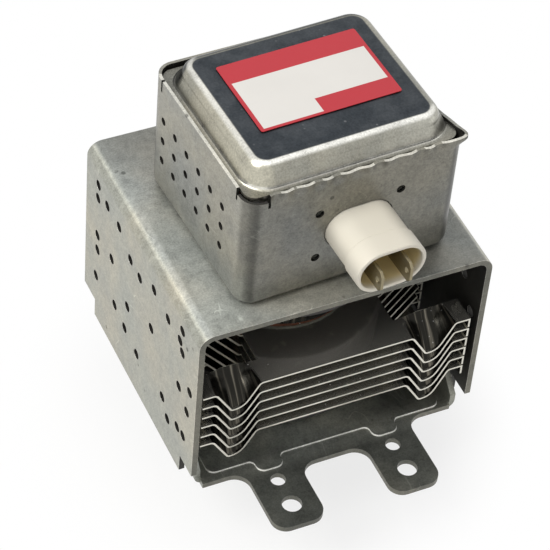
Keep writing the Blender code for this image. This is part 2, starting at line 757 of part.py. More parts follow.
def make_antenna():
    """Mesh gasket, ceramic insulator, cap and the lead inside them."""
    top = PLATE_RAISE - CLEARANCE
    gasket = ring(PIPE_RADIUS + CLEARANCE, GASKET_RADIUS, top - GASKET_HEIGHT, top, GASKET_EDGE)
    mesh_object("antenna_gasket", turned(gasket, ROUND_SIDES), "wire_mesh")
    ceramic_top = -PIPE_DROP - CLEARANCE
    ceramic_low = ceramic_top - ANTENNA_CERAMIC_HEIGHT
    inner = ANTENNA_CERAMIC_RADIUS - ANTENNA_CERAMIC_WALL
    ceramic = ring(inner, ANTENNA_CERAMIC_RADIUS, ceramic_low, ceramic_top)
    mesh_object("antenna_ceramic", turned(ceramic, ROUND_SIDES), "white_ceramic")
    cap_top = ceramic_low - CLEARANCE
    cap_low = cap_top - CAP_HEIGHT
    cap = [
        (0, cap_low), (CAP_RADIUS - CAP_EDGE, cap_low), (CAP_RADIUS, cap_low + CAP_EDGE),
        (CAP_RADIUS, cap_top), (CAP_RADIUS - CAP_WALL, cap_top),
        (CAP_RADIUS - CAP_WALL, cap_low + CAP_EDGE + CAP_WALL), (0, cap_low + CAP_EDGE + CAP_WALL),
    ]
    mesh_object("antenna_cap", turned(cap, ROUND_SIDES, closed=False), "nickel")
    start = ANODE_MIDDLE - VANE_HEIGHT / 2 - CLEARANCE
    knee = LOWER_SEAL_Z - ANTENNA_LEAD_RUN
    route = [
        (ANTENNA_LEAD_OFFSET, 0, start), (ANTENNA_LEAD_OFFSET, 0, ANODE_Z + ANTENNA_LEAD_RUN),
        (ANTENNA_LEAD_KNEE, 0, knee), (0, 0, knee - ANTENNA_LEAD_CENTRING),
        (0, 0, cap_low + CAP_EDGE + CAP_WALL + CLEARANCE),
    ]
    wire_object("antenna_lead", route, ANTENNA_LEAD_RADIUS, "copper")


def fin_surface():
    """Middle surface of one fin, flat at height zero.

    At the front and the back each side dips into a short trough. Behind it a
    window is open, and then a wing is cut free on three sides and bent up.
    """
    floor = TROUGH_FLOOR_HALF_WIDTH
    left_end = PLATE_LEFT
    right_end = FIN_RIGHT - FIN_SHEET / 2
    columns = [left_end]
    columns += [
        -TROUGH_OFFSET + step for step in (-TROUGH_HALF_WIDTH, -floor, floor, TROUGH_HALF_WIDTH)
    ]
    columns += [-WING_HINGE, WING_HINGE]
    columns += [
        TROUGH_OFFSET + step for step in (-TROUGH_HALF_WIDTH, -floor, floor, TROUGH_HALF_WIDTH)
    ]
    columns.append(right_end)
    # Columns and rows of the grid, by number
    floors = (2, 3, 8, 9)
    lifted = (10, 11)
    left_hinge = 5
    right_hinge = 6
    edge = -YOKE_FRONT
    tongue = edge - TONGUE_LENGTH
    wing = WING_END + WING_LENGTH
    solid_end = WING_END - CLEARANCE
    half_rows = [edge, edge - TONGUE_LENGTH / 2, tongue, wing, WING_END, solid_end]
    rows = [-y for y in half_rows] + half_rows[::-1]
    slope = [TROUGH_DEPTH, TROUGH_HALFWAY_DEPTH]
    depths = slope + [0.0] * (len(rows) - 2 * len(slope)) + slope[::-1]
    bm = bmesh.new()
    grid = []
    for y, depth in zip(rows, depths):
        line = []
        for index, x in enumerate(columns):
            height = -depth if index in floors else 0.0
            if index in lifted:
                height += FIN_RIGHT_LIFT
            line.append(bm.verts.new((x, y, height)))
        grid.append(line)
    open_rows = (2, 3, 4, 6, 7, 8)
    for j in range(len(rows) - 1):
        for i in range(len(columns) - 1):
            beside = i < left_hinge or i >= right_hinge
            if j in open_rows and beside:
                continue
            bm.faces.new((grid[j][i], grid[j][i + 1], grid[j + 1][i + 1], grid[j + 1][i]))
    for strip in ((0, 1, 2), (5, 6), (9, 10, 11)):
        tips = [
            bm.verts.new((right_end, rows[row], FIN_RIGHT_LIFT - FIN_COMB_DROP)) for row in strip
        ]
        for k, (row, after) in enumerate(zip(strip, strip[1:])):
            bm.faces.new((grid[row][-1], tips[k], tips[k + 1], grid[after][-1]))
    for j in (3, 7):
        for hinge, end, side in ((left_hinge, left_end, -1), (right_hinge, right_end, 1)):
            reach = abs(end) - WING_HINGE
            shift = Vector((side * reach * math.cos(WING_ANGLE), 0, reach * math.sin(WING_ANGLE)))
            near = grid[j][hinge]
            far = grid[j + 1][hinge]
            near_tip = bm.verts.new(near.co + shift)
            far_tip = bm.verts.new(far.co + shift)
            bm.faces.new((near, far, far_tip, near_tip))
    merge_flat(bm)
    return bm


def make_fins():
    """A stack of pressed fins, each with a collar round the anode."""
    top = ANODE_TOP - FIN_TOP_DROP
    bore = ANODE_RADIUS + CLEARANCE
    for k in range(FIN_COUNT):
        name = "fin_" + str(k + 1)
        fin = mesh_object(name, fin_surface(), "aluminium")
        fin.location.z = top - k * FIN_PITCH
        sheet = fin.modifiers.new("sheet", "SOLIDIFY")
        sheet.thickness = FIN_SHEET
        sheet.offset = 0
        sheet.use_even_offset = True
        collar = ring(bore - ROOM, bore + FIN_SHEET, 0, FIN_COLLAR_HEIGHT)
        join(fin, tool_object(name + "_collar", turned(collar, ROUND_SIDES), fin))
        hole = prism(bmesh.new(), circle(bore, ROUND_SIDES), -ROOM, FIN_COLLAR_HEIGHT + ROOM)
        cut(fin, tool_object(name + "_bore", hole, fin))


def box_loop(half_x, half_y, radius, z, ripple=0.0):
    """A rounded rectangle, with extra points along the front for the crimped rim."""
    points = []
    quarter = math.pi / 2
    corners = ((1, -1), (1, 1), (-1, 1), (-1, -1))
    for index, (side_x, side_y) in enumerate(corners):
        centre_x = side_x * (half_x - radius)
        centre_y = side_y * (half_y - radius)
        for step in range(ARC_STEPS + 1):
            angle = quarter * (index - 1) + quarter * step / ARC_STEPS
            points.append((
                centre_x + radius * math.cos(angle), centre_y + radius * math.sin(angle), z,
            ))
    count = RIPPLE_COUNT * 2
    start = -(half_x - radius)
    for k in range(1, count):
        x = start * (1 - 2 * k / count)
        wave = ripple if k % 2 else 0.0
        points.append((x, -half_y + wave, z))
    return points


def box_frame():
    frame = bpy.data.objects.new("filter_frame", None)
    frame.location = (*BOX_CENTRE, 0)
    frame.rotation_euler.z = BOX_TURN
    return link(frame)


def fillet_steps(radius, steps=3):
    """Insets and rises of the points on a quarter round."""
    for k in range(steps + 1):
        angle = math.pi / 2 * k / steps
        yield radius * (1 - math.sin(angle)), radius * (1 - math.cos(angle))


def make_filter_box(frame):
    """A drawn box: rounded foot, vents in its sides, slit corners and a crimped front rim."""
    half_x = BOX_WIDTH / 2
    half_y = BOX_DEPTH / 2
    loops = []
    for inset, rise in fillet_steps(BOX_FOOT_RADIUS):
        loops.append(box_loop(half_x - inset, half_y - inset, BOX_CORNER - inset, BOX_Z + rise))
    band = BOX_RIM - RIPPLE_BAND
    loops.append(box_loop(half_x, half_y, BOX_CORNER, band))
    loops.append(box_loop(half_x, half_y, BOX_CORNER, BOX_RIM, RIPPLE_DEPTH))
    inner_x = half_x - BOX_SHEET
    inner_y = half_y - BOX_SHEET
    corner = BOX_CORNER - BOX_SHEET
    loops.append(box_loop(inner_x, inner_y, corner, BOX_RIM, RIPPLE_DEPTH))
    loops.append(box_loop(inner_x, inner_y, corner, band))
    inner_foot = BOX_FOOT_RADIUS - BOX_SHEET
    for inset, rise in reversed(list(fillet_steps(inner_foot))):
        loops.append(box_loop(
            inner_x - inset, inner_y - inset, corner - inset, BOX_Z + BOX_SHEET + rise,
        ))
    bm = loft(bmesh.new(), loops)
    merge_flat(bm)
    box = mesh_object("filter_box", bm, "tin_steel", frame)

    cut(box, hole_tools(
        "box_stake_holes", stake_centres(), STAKE_RADIUS,
        -half_y - ROOM, -inner_y + ROOM, along_y, parent=frame,
    ))
    mouth = prism(
        bmesh.new(), stadium(plug_half_width() + CLEARANCE, plug_half_height() + CLEARANCE),
        -half_y - ROOM, -inner_y + ROOM, along_y,
    )
    cut(box, tool_object("box_plug_mouth", mouth, frame))
    cut(box, hole_tools(
        "box_stem_bore", [(0, 0)], BOX_STEM_BORE, BOX_Z - ROOM, BOX_Z + BOX_SHEET + ROOM,
        along_z, ROUND_SIDES,
    ))
    vents = [
        (VENT_FIRST_COLUMN + VENT_PITCH * i, BOX_Z + VENT_FIRST_ROW + VENT_PITCH * j)
        for i in range(VENT_COLUMNS) for j in range(VENT_ROWS)
    ]
    cut(box, hole_tools(
        "box_vents", vents, VENT_RADIUS, -half_x - ROOM, half_x + ROOM, along_x,
        parent=frame,
    ))

    corners = bmesh.new()
    slits = bmesh.new()
    for side_x in (-1, 1):
        for side_y in (-1, 1):
            add_rim_corner(corners, slits, side_x, side_y)
    cut(box, tool_object("box_rim_corners", corners, frame))
    cut(box, tool_object("box_rim_slits", slits, frame))


def add_rim_corner(corners, slits, side_x, side_y):
    """Cuts that lower one corner of the rim and free it from the walls beside it."""
    outer_x = BOX_WIDTH / 2 + ROOM
    outer_y = BOX_DEPTH / 2 + ROOM
    near_x = BOX_WIDTH / 2 - RIM_CORNER_LENGTH
    near_y = BOX_DEPTH / 2 - RIM_CORNER_LENGTH
    inside_x = near_x + RIM_CORNER_LENGTH / 2
    inside_y = near_y + RIM_CORNER_LENGTH / 2
    high = BOX_RIM + ROOM
    elbow = [
        (near_x, inside_y), (inside_x, inside_y), (inside_x, near_y),
        (outer_x, near_y), (outer_x, outer_y), (near_x, outer_y),
    ]
    slit = RIM_SLIT_WIDTH / 2
    front_slit = rectangle(near_x - slit, inside_y, near_x + slit, outer_y)
    side_slit = rectangle(inside_x, near_y - slit, outer_x, near_y + slit)
    for bm, outline, low in (
        (corners, elbow, BOX_RIM - RIM_CORNER_DROP),
        (slits, front_slit, BOX_RIM - RIM_SLIT_DEPTH),
        (slits, side_slit, BOX_RIM - RIM_SLIT_DEPTH),
    ):
        prism(bm, [(side_x * x, side_y * y) for x, y in outline], low, high)


def stake_centres():
    """Centres of the four holes round the connector."""
    centre = PLUG_CENTRE[0] + STAKE_SIDE_SHIFT
    return [
        (centre + side * STAKE_SPACING_X / 2, PLUG_Z + level * STAKE_SPACING_Z / 2)
        for side in (-1, 1) for level in (-1, 1)
    ]


def make_lid(frame):
    """A drawn lid: a flange inside the rim, steep sides and a flat top."""
    half_x = BOX_WIDTH / 2 - BOX_SHEET - RIPPLE_DEPTH - CLEARANCE
    half_y = BOX_DEPTH / 2 - BOX_SHEET - RIPPLE_DEPTH - CLEARANCE
    flange_corner = BOX_CORNER - BOX_SHEET
    dome_x = half_x - LID_FLANGE_WIDTH
    dome_y = half_y - LID_FLANGE_WIDTH
    flange_top = BOX_RIM - LID_FLANGE_DROP
    loops = []

    def skin(offset, top, low):
        """The dome's loops from its foot up to the flat, shifted inwards by an offset."""
        rows = [box_loop(dome_x - offset, dome_y - offset, LID_CORNER - offset, low)]
        radius = LID_TOP_RADIUS - offset
        for drop, inset in fillet_steps(radius):
            rows.append(box_loop(
                dome_x - offset - inset, dome_y - offset - inset,
                LID_CORNER - offset - inset, top - drop,
            ))
        return rows

    outer = skin(0.0, LID_TOP, flange_top)
    inner = skin(LID_SHEET, LID_TOP - LID_SHEET, flange_top - LID_SHEET)
    loops += outer[::-1]
    loops.append(box_loop(half_x, half_y, flange_corner, flange_top))
    loops.append(box_loop(half_x, half_y, flange_corner, flange_top - LID_SHEET))
    loops += inner
    mesh_object("box_lid", loft(bmesh.new(), loops), "tin_steel", frame)

    x, y = LABEL_CENTRE
    outline = rectangle(
        x - LABEL_WIDTH / 2, y - LABEL_DEPTH / 2, x + LABEL_WIDTH / 2, y + LABEL_DEPTH / 2,
    )
    low = LID_TOP + LABEL_GAP
    label = prism(bmesh.new(), outline, low, low + LABEL_THICKNESS)
    mesh_object("label", label, "paper_label", frame)


def plug_half_width():
    return PLUG_WIDTH / 2 - PLUG_STEP


def plug_half_height():
    return PLUG_HEIGHT / 2 - PLUG_STEP


def stadium(half_width, half_height):
    """Outline with round ends, centred on the plug."""
    straight = half_width - half_height
    points = []
    steps = ARC_STEPS * 2
    for side in (1, -1):
        for k in range(steps + 1):
            angle = math.pi * k / steps - math.pi / 2
            points.append((
                PLUG_CENTRE[0] + side * (straight + half_height * math.cos(angle)),
                PLUG_Z + side * half_height * math.sin(angle),
            ))
    return points


def make_connector(frame):
    """The plug's shell and its two blades, which run back through the capacitor."""
    wall_y = -BOX_DEPTH / 2
    front = wall_y - PLUG_REACH
    inside = wall_y + BOX_SHEET + CLEARANCE
    back = inside + CAP_PLATE_SHEET
    sections = [
        (back, PLUG_STEP), (front + PLUG_FRONT_PART + PLUG_STEP, PLUG_STEP),
        (front + PLUG_FRONT_PART, 0.0), (front, 0.0), (front, PLUG_WALL),
        (wall_y - PLUG_FLOOR, PLUG_WALL + PLUG_STEP),
    ]
    loops = []
    for y, inset in sections:
        outline = stadium(PLUG_WIDTH / 2 - inset, PLUG_HEIGHT / 2 - inset)
        loops.append([along_y(u, v, y) for u, v in outline])
    shell = mesh_object("connector_shell", loft(bmesh.new(), loops), "cream_plastic", frame)
    body_front = back + CLEARANCE
    body_back = body_front + CAP_BODY_LENGTH
    tip = front - BLADE_PROUD
    tail = body_back + BLADE_TAIL
    slots = bmesh.new()
    half_width = BLADE_WIDTH / 2
    half_sheet = BLADE_THICKNESS / 2
    middle = PLUG_CENTRE[0] + BLADE_SIDE_SHIFT
    for number, side in ((1, -1), (2, 1)):
        x = middle + side * BLADE_SPACING / 2
        chamfer = BLADE_TIP_CHAMFER
        outline = [
            (tip, PLUG_Z - half_width + chamfer), (tip + chamfer, PLUG_Z - half_width),
            (tail, PLUG_Z - half_width), (tail, PLUG_Z + half_width),
            (tip + chamfer, PLUG_Z + half_width), (tip, PLUG_Z + half_width - chamfer),
        ]
        bm = prism(bmesh.new(), outline, x - half_sheet, x + half_sheet, along_x)
        name = "terminal_blade_" + str(number)
        blade = mesh_object(name, bm, "nickel", frame)
        cut(blade, hole_tools(
            name + "_eye", [(tip + BLADE_EYE_INSET, PLUG_Z)], BLADE_EYE_RADIUS,
            x - ROOM, x + ROOM, along_x, parent=frame,
        ))
        reach = half_sheet + CLEARANCE
        rise = half_width + CLEARANCE
        slot = rectangle(x - reach, PLUG_Z - rise, x + reach, PLUG_Z + rise)
        prism(slots, slot, wall_y - PLUG_FLOOR - ROOM, body_back + ROOM, along_y)
    slot_tool = tool_object("blade_slots", slots, frame)
    cut(shell, slot_tool)

    outline = stadium(CAP_BODY_WIDTH / 2, CAP_BODY_HEIGHT / 2)
    bm = prism(bmesh.new(), outline, body_front, body_back, along_y)
    body = mesh_object("capacitor_body", bm, "tan_resin", frame)
    cut(body, slot_tool)

    wide = CAP_PLATE_WIDTH / 2
    tall = CAP_PLATE_HEIGHT / 2
    corner = CAP_PLATE_CORNER
    centre = PLUG_CENTRE[0] + STAKE_SIDE_SHIFT
    outline = rounded_outline([
        (centre - wide, PLUG_Z - tall, corner), (centre + wide, PLUG_Z - tall, corner),
        (centre + wide, PLUG_Z + tall, corner), (centre - wide, PLUG_Z + tall, corner),
    ])
    bm = prism(bmesh.new(), outline, inside, back, along_y)
    plate = mesh_object("capacitor_plate", bm, "zinc_steel", frame)
    mouth = prism(
        bmesh.new(), stadium(plug_half_width() + CLEARANCE, plug_half_height() + CLEARANCE),
        inside - ROOM, back + ROOM, along_y,
    )
    cut(plate, tool_object("plate_plug_mouth", mouth, frame))
    cut(plate, hole_tools(
        "plate_stake_holes", stake_centres(), STAKE_RADIUS,
        inside - ROOM, back + ROOM, along_y, parent=frame,
    ))
    return tail


def make_chokes(frame, tail):
    """Two ferrite-cored coils between the blades' tails and the cathode's terminals."""
    core_radius = CHOKE_RADIUS - CHOKE_WIRE - CLEARANCE
    middle_x = PLUG_CENTRE[0]
    middle_y = -BOX_CENTRE[1]
    top = STEM_TOP + CLEARANCE + TERMINAL_SHEET + CLEARANCE + CHOKE_WIRE
    for number, side in ((1, -1), (2, 1)):
        x = middle_x + side * CHOKE_SPACING / 2
        outline = circle(core_radius, SMALL_SIDES, (x, PLUG_Z))
        half = CORE_LENGTH / 2
        core = prism(bmesh.new(), outline, middle_y - half, middle_y + half, along_y)
        mesh_object("ferrite_core_" + str(number), core, "ferrite", frame)
        blade_x = middle_x + BLADE_SIDE_SHIFT + side * BLADE_SPACING / 2
        contact = blade_x + side * (BLADE_THICKNESS / 2 + CLEARANCE + CHOKE_WIRE)
        centre = Vector((x, middle_y, PLUG_Z))
        coil = []
        for point in helix(CHOKE_RADIUS, CHOKE_LENGTH, CHOKE_TURNS, along_y):
            coil.append(centre + Vector((-side * point.x, point.y, point.z)))
        front = coil[0]
        back = coil[-1]
        start = [
            (contact, tail - BLADE_TAIL / 2, PLUG_Z),
            (contact + side * CHOKE_LEAD_RUN, tail - BLADE_TAIL / 2, PLUG_Z),
            (front.x, front.y - ROOM, front.z),
        ]
        terminal_x = side * CHOKE_LANDING - BOX_CENTRE[0]
        end = [
            (back.x - side * ROOM, back.y + ROOM, back.z),
            (terminal_x, middle_y + ROOM, top),
            (terminal_x, middle_y - ROOM, top),
        ]
        wire_object("choke_coil_" + str(number), start + coil + end, CHOKE_WIRE,
                    "enamelled_wire", frame)


def main():
    clear_scene()
    make_yoke()
    make_base_plate()
    make_magnets()
    make_anode()
    make_poles()
    make_seals()
    make_cathode()
    make_antenna()
    make_fins()
    frame = box_frame()
    make_filter_box(frame)
    make_lid(frame)
    tail = make_connector(frame)
    make_chokes(frame, tail)


main()
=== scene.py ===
# %% [markdown]
# # A microwave oven's magnetron
#
# A magnetron is the tube that makes a microwave oven's waves. A copper anode with
# cooling fins sits between two ring magnets inside a folded steel yoke. A drawn steel
# box on top filters the supply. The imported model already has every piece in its
# place. This lesson gives the visible ones finer shapes and real finishes, piece by
# piece. The hidden ones keep the model's shapes and only get their finish.

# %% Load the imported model
import math

import bmesh
import bpy
from mathutils import Matrix, Vector


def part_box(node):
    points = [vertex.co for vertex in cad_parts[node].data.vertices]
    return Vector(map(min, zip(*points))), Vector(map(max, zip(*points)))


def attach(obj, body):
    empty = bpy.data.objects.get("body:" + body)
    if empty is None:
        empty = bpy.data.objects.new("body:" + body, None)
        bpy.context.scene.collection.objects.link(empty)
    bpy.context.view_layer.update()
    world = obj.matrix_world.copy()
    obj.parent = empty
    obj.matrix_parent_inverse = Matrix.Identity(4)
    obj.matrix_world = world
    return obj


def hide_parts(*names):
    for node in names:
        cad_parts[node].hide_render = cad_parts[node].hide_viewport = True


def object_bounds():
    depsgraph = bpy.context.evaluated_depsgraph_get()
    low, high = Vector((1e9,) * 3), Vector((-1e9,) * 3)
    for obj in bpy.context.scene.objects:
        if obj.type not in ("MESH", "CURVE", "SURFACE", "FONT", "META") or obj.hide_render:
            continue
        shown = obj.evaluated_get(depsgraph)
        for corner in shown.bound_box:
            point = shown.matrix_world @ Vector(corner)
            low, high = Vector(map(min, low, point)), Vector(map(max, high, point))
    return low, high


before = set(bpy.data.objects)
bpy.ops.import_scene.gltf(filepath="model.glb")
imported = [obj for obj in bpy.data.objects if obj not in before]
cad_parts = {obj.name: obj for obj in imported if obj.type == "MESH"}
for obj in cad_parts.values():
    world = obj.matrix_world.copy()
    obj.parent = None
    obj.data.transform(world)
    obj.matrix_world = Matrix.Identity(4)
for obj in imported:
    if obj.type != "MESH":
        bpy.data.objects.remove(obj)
CAD_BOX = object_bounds()
print("nodes in the packed model:", len(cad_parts))

# %% [markdown]
# ## The camera comes first
#
# The photograph looks down at the front from the left, and the object leans a little in
# the frame. Azimuth, elevation and lean were worked out from the yoke's straight edges.
# A camera's matrix has its right, up and backward directions as columns, so the three
# angles turn into three vectors and no constraint is needed.

# %% Camera at the photograph's angle
VIEW_AZIMUTH = math.radians(-28.2)
VIEW_ELEVATION = math.radians(45.6)
VIEW_LEAN = math.radians(5.47)
CAMERA_PLACE = Vector((-0.2233, -0.4159, 0.5120))
FOCAL_PIXELS = 2586
FRAME_PIXELS = 550
SENSOR_MM = 36

forward = Vector((
    -math.sin(VIEW_AZIMUTH) * math.cos(VIEW_ELEVATION),
    math.cos(VIEW_AZIMUTH) * math.cos(VIEW_ELEVATION),
    -math.sin(VIEW_ELEVATION),
))
level = forward.cross(Vector((0, 0, 1))).normalized()
upright = level.cross(forward)
right = level * math.cos(VIEW_LEAN) + upright * math.sin(VIEW_LEAN)
up = upright * math.cos(VIEW_LEAN) - level * math.sin(VIEW_LEAN)

camera_data = bpy.data.cameras.new("photo_camera")
camera_data.lens = FOCAL_PIXELS * SENSOR_MM / FRAME_PIXELS
camera_data.sensor_width = SENSOR_MM
camera_data.clip_start = 0.01
camera_data.clip_end = 20
camera = bpy.data.objects.new("photo_camera", camera_data)
turning = Matrix((right, up, -forward)).transposed()
camera.matrix_world = Matrix.Translation(CAMERA_PLACE) @ turning.to_4x4()
bpy.context.scene.collection.objects.link(camera)
bpy.context.scene.camera = camera
print("lens in mm:", round(camera_data.lens, 1))

# %% [markdown]
# ## Shader values that add and multiply
#
# A material is a graph of small nodes. Written out link by link it is hard to read, so
# one small class wraps a node's output and lets Python's own operators build the maths.
# Plain values go through Math nodes. Colours go through Mix and vectors through Vector
# Math, because a Math node would turn a colour grey.

# %% A socket that can be used in arithmetic
class Signal:
    """The output of a shader node."""

    def __init__(self, graph, link):
        self.graph = graph
        self.link = link

    def combined(self, operation, first, second):
        kinds = [item.link.type for item in (first, second) if isinstance(item, Signal)]
        if "RGBA" in kinds:
            pair = [
                item if isinstance(item, Signal) else (item, item, item, 1.0)
                for item in (first, second)
            ]
            settings = {"data_type": "RGBA", "blend_type": operation}
            return self.graph.add(
                "ShaderNodeMix", settings, {0: 1.0, 6: pair[0], 7: pair[1]}, out=2,
            )
        if "VECTOR" in kinds:
            pair = [
                (item,) * 3 if isinstance(item, (int, float)) else item
                for item in (first, second)
            ]
            return self.graph.add(
                "ShaderNodeVectorMath", {"operation": operation}, {0: pair[0], 1: pair[1]},
            )
        return self.graph.add(
            "ShaderNodeMath", {"operation": operation}, {0: first, 1: second},
        )

    def __add__(self, other):
        return self.combined("ADD", self, other)

    def __radd__(self, other):
        return self.combined("ADD", other, self)

    def __sub__(self, other):
        return self.combined("SUBTRACT", self, other)

    def __rsub__(self, other):
        return self.combined("SUBTRACT", other, self)

    def __mul__(self, other):
        return self.combined("MULTIPLY", self, other)

    def __rmul__(self, other):
        return self.combined("MULTIPLY", other, self)

    def __abs__(self):
        return self.graph.add("ShaderNodeMath", {"operation": "ABSOLUTE"}, {0: self})

    def __or__(self, other):
        """The larger of two masks."""
        return self.combined("MAXIMUM", self, other)


print("a socket can be added, subtracted, multiplied and joined")

# %% [markdown]
# ## One material, a few short verbs
#
# Every finish on this object is one Principled shader whose colour, roughness and bump
# vary over the surface. A graph's `add` method makes any node from its type, its
# settings and the values of its sockets. The world's graph uses it too. A finish adds
# the steps that return in nearly every material: noise, a soft threshold, a mix of two
# colours and a bump.

# %% A graph that can grow by any node
class Graph:
    """A tree of shader nodes."""

    def __init__(self, tree):
        self.tree = tree

    def add(self, kind, settings=None, inputs=None, out=0):
        """Make a node: first its settings, then its sockets. Gives one of its outputs."""
        node = self.tree.nodes.new(kind)
        for key, value in (settings or {}).items():
            setattr(node, key, value)
        for key, value in (inputs or {}).items():
            if isinstance(value, Signal):
                self.tree.links.new(value.link, node.inputs[key])
            else:
                node.inputs[key].default_value = value
        return Signal(self, node.outputs[out])


print("graph helper ready")


# %% Colours as they read on a screen
def tone(red, green, blue):
    """A colour as it reads on a screen, from 0 to 255, in the linear values shaders use."""
    linear = []
    for part in (red, green, blue):
        part /= 255
        linear.append(part / 12.92 if part <= 0.04045 else ((part + 0.055) / 1.055) ** 2.4)
    return (*linear, 1.0)


print("middle grey in linear values:", round(tone(128, 128, 128)[0], 3))


# %% A material with short ways to grow its graph
class Finish(Graph):
    """A procedural material on one Principled shader."""

    def __init__(self, name, **fixed):
        self.material = bpy.data.materials.new(name)
        self.material.use_nodes = True
        super().__init__(self.material.node_tree)
        self.shader = self.tree.nodes["Principled BSDF"]
        for socket, value in fixed.items():
            self.shader.inputs[socket.replace("_", " ")].default_value = value
        self.place = self.add("ShaderNodeTexCoord", out="Object")

    def noise(self, scale, detail=2.0, rough=0.5):
        """Cloudy values from 0 to 1; the scale may be one number or one per axis."""
        scale = scale if isinstance(scale, tuple) else (scale,) * 3
        return self.add(
            "ShaderNodeTexNoise", None,
            {"Vector": self.place * scale, "Scale": 1.0, "Detail": detail, "Roughness": rough},
        )

    def cells(self, scale):
        """Distance to the nearest of many scattered points."""
        return self.add(
            "ShaderNodeTexVoronoi", None, {"Vector": self.place, "Scale": scale},
            out="Distance",
        )

    def fade(self, value, low, high, start=0.0, end=1.0):
        """A soft step from start to end while the value goes from low to high."""
        return self.add(
            "ShaderNodeMapRange", {"interpolation_type": "SMOOTHSTEP"},
            {0: value, 1: low, 2: high, 3: start, 4: end},
        )

    def mix(self, amount, first, second):
        """A colour between two, by a share from 0 to 1."""
        return self.add(
            "ShaderNodeMix", {"data_type": "RGBA"}, {0: amount, 6: first, 7: second}, out=2,
        )

    def axis(self, letter, vector=None):
        """One part of a vector, or else of the place on the object."""
        return self.add(
            "ShaderNodeSeparateXYZ", None, {0: self.place if vector is None else vector},
            out=letter,
        )

    def facing(self, letter):
        """How far the surface faces along one axis of the object."""
        normal = self.add("ShaderNodeTexCoord", out="Normal")
        return self.axis(letter, normal)

    def wear(self, **varying):
        """Feed the shader sockets that vary over the surface."""
        for socket, value in varying.items():
            self.tree.links.new(value.link, self.shader.inputs[socket.replace("_", " ")])

    def bump(self, height, depth, strength=1.0):
        """Tilt the surface's normals by a height map."""
        bumped = self.add(
            "ShaderNodeBump", None,
            {"Height": height, "Distance": depth, "Strength": strength}, out="Normal",
        )
        self.wear(Normal=bumped)


print("material helpers ready")

# %% [markdown]
# ## Sheet steel
#
# The yoke, the mounting plate and the filter box are plated sheet. Close up such sheet is
# never one grey: soft cloudy patches from handling, a fine grain, faint rolling lines
# along the strip, a few short scratches and dark specks. Each is a noise at its own
# size, and the same noises shift the roughness so that the patches also show in the
# gloss. A film on top paints the light and shade of one piece alone, such as painted
# shade on the yoke's top and a painted highlight along its bends.

# %% A rolled and plated steel sheet
def sheet_steel(name, shade, warm, metallic, roughness, along, painted_light=None):
    """Plated sheet; along is the noise scale that runs with the rolling direction.

    shade and warm are its two colours, and the last argument is a film of painted light and shade
    that tints both.
    """
    steel = Finish(name, Metallic=metallic)
    cloud = steel.noise(38, 3.0)
    blotch = steel.noise(150, 5.0, 0.62)
    mottle = steel.noise(620, 3.0, 0.6)
    grain = steel.noise(2300, 2.0)
    rolled = steel.noise(along, 2.0)
    lines = abs(steel.noise((150, 60, 210), 1.0) - 0.5)
    gate = steel.fade(steel.noise(90, 1.0), 0.58, 0.64)
    scratch = steel.fade(lines, 0.008, 0.0) * gate
    speck = steel.fade(steel.cells(210), 0.16, 0.09)
    speck = speck * steel.fade(steel.noise(70), 0.55, 0.65)
    light = 1 + (cloud - 0.5) * 0.30 + (blotch - 0.5) * 0.65
    light = light + (mottle - 0.5) * 0.65 + (grain - 0.5) * 0.85 + (rolled - 0.5) * 0.16
    light = light + scratch * 0.50 - speck * 0.50
    colour = steel.mix(steel.fade(cloud, 0.35, 0.65), shade, warm) * light
    # Multiply in the piece's own painted light and shade.
    if painted_light:
        colour = colour * painted_light(steel)
    steel.wear(
        Base_Color=colour,
        Roughness=roughness + (blotch - 0.5) * 0.26 + (rolled - 0.5) * 0.10 + speck * 0.2,
    )
    dents = cloud * 0.5 + blotch * 0.06 + rolled * 0.02 + grain * 0.012 - scratch * 0.03
    steel.bump(dents, 0.0009, 0.5)
    return steel


print("sheet steel helper ready")

# %% Painted light and shade that one piece alone has on its sheet
PAINTED_SHADE_REACH = (-0.042, -0.002)
WALL_PAINTED_TINT = (0.92, 0.91, 0.86, 1)
TOP_PAINTED_TINT = (0.94, 0.96, 0.98, 1)
EARS_PAINTED_SHADE = (-0.041, -0.036)
PAINTED_LIGHT_MIDDLE = -0.025
PAINTED_LIGHT_DEPTH = (0.011, 0.004)
PAINTED_LIGHT_WIDTH = (0.028, 0.000)


def yoke_painted_light(steel):
    """Painted light and shade: a lighter top, painted shade that thickens to the right and under
    the plug, a painted highlight along the bends, and a cooler painted tint on top than on the
    walls.
    """
    upward = steel.fade(steel.facing("Z"), 0.75, 0.97)
    # Painted shade on top, thickening to the right and towards the plug.
    dust_and_shade = steel.fade(steel.axis("X") + steel.axis("Y") * 0.7, *PAINTED_SHADE_REACH, 0.0, 0.70)
    # Painted highlight along the bends.
    bend = steel.fade(abs(steel.facing("Z") - 0.80), 0.13, 0.02, 0.0, 0.42)
    # Painted tint: cooler on top and warmer on the walls, as the light falls.
    tint = steel.mix(upward, WALL_PAINTED_TINT, TOP_PAINTED_TINT)
    # The top is painted lighter, less where the painted shade lies.
    return tint * ((1 + upward * (0.28 - dust_and_shade)) * (1 + bend))


def box_painted_shade(steel):
    """Painted shade: a darker front, and darker upright corners."""
    forward = steel.fade(steel.facing("Y"), -0.55, -0.95)
    corner = steel.fade(abs(steel.facing("X") * steel.facing("Y")), 0.10, 0.40)
    return 1 - forward * 0.30 - corner * 0.40


def plate_painted_light(steel):
    """Painted shade on the ears, and painted light on a patch behind the front edge that ends to
    the right.
    """
    ears = steel.fade(steel.axis("Y"), *EARS_PAINTED_SHADE, 0.50, 1.0)
    near = steel.fade(abs(steel.axis("Y") - PAINTED_LIGHT_MIDDLE), *PAINTED_LIGHT_DEPTH)
    patch = near * steel.fade(steel.axis("X"), *PAINTED_LIGHT_WIDTH)
    return ears * (1 + patch * 1.4)


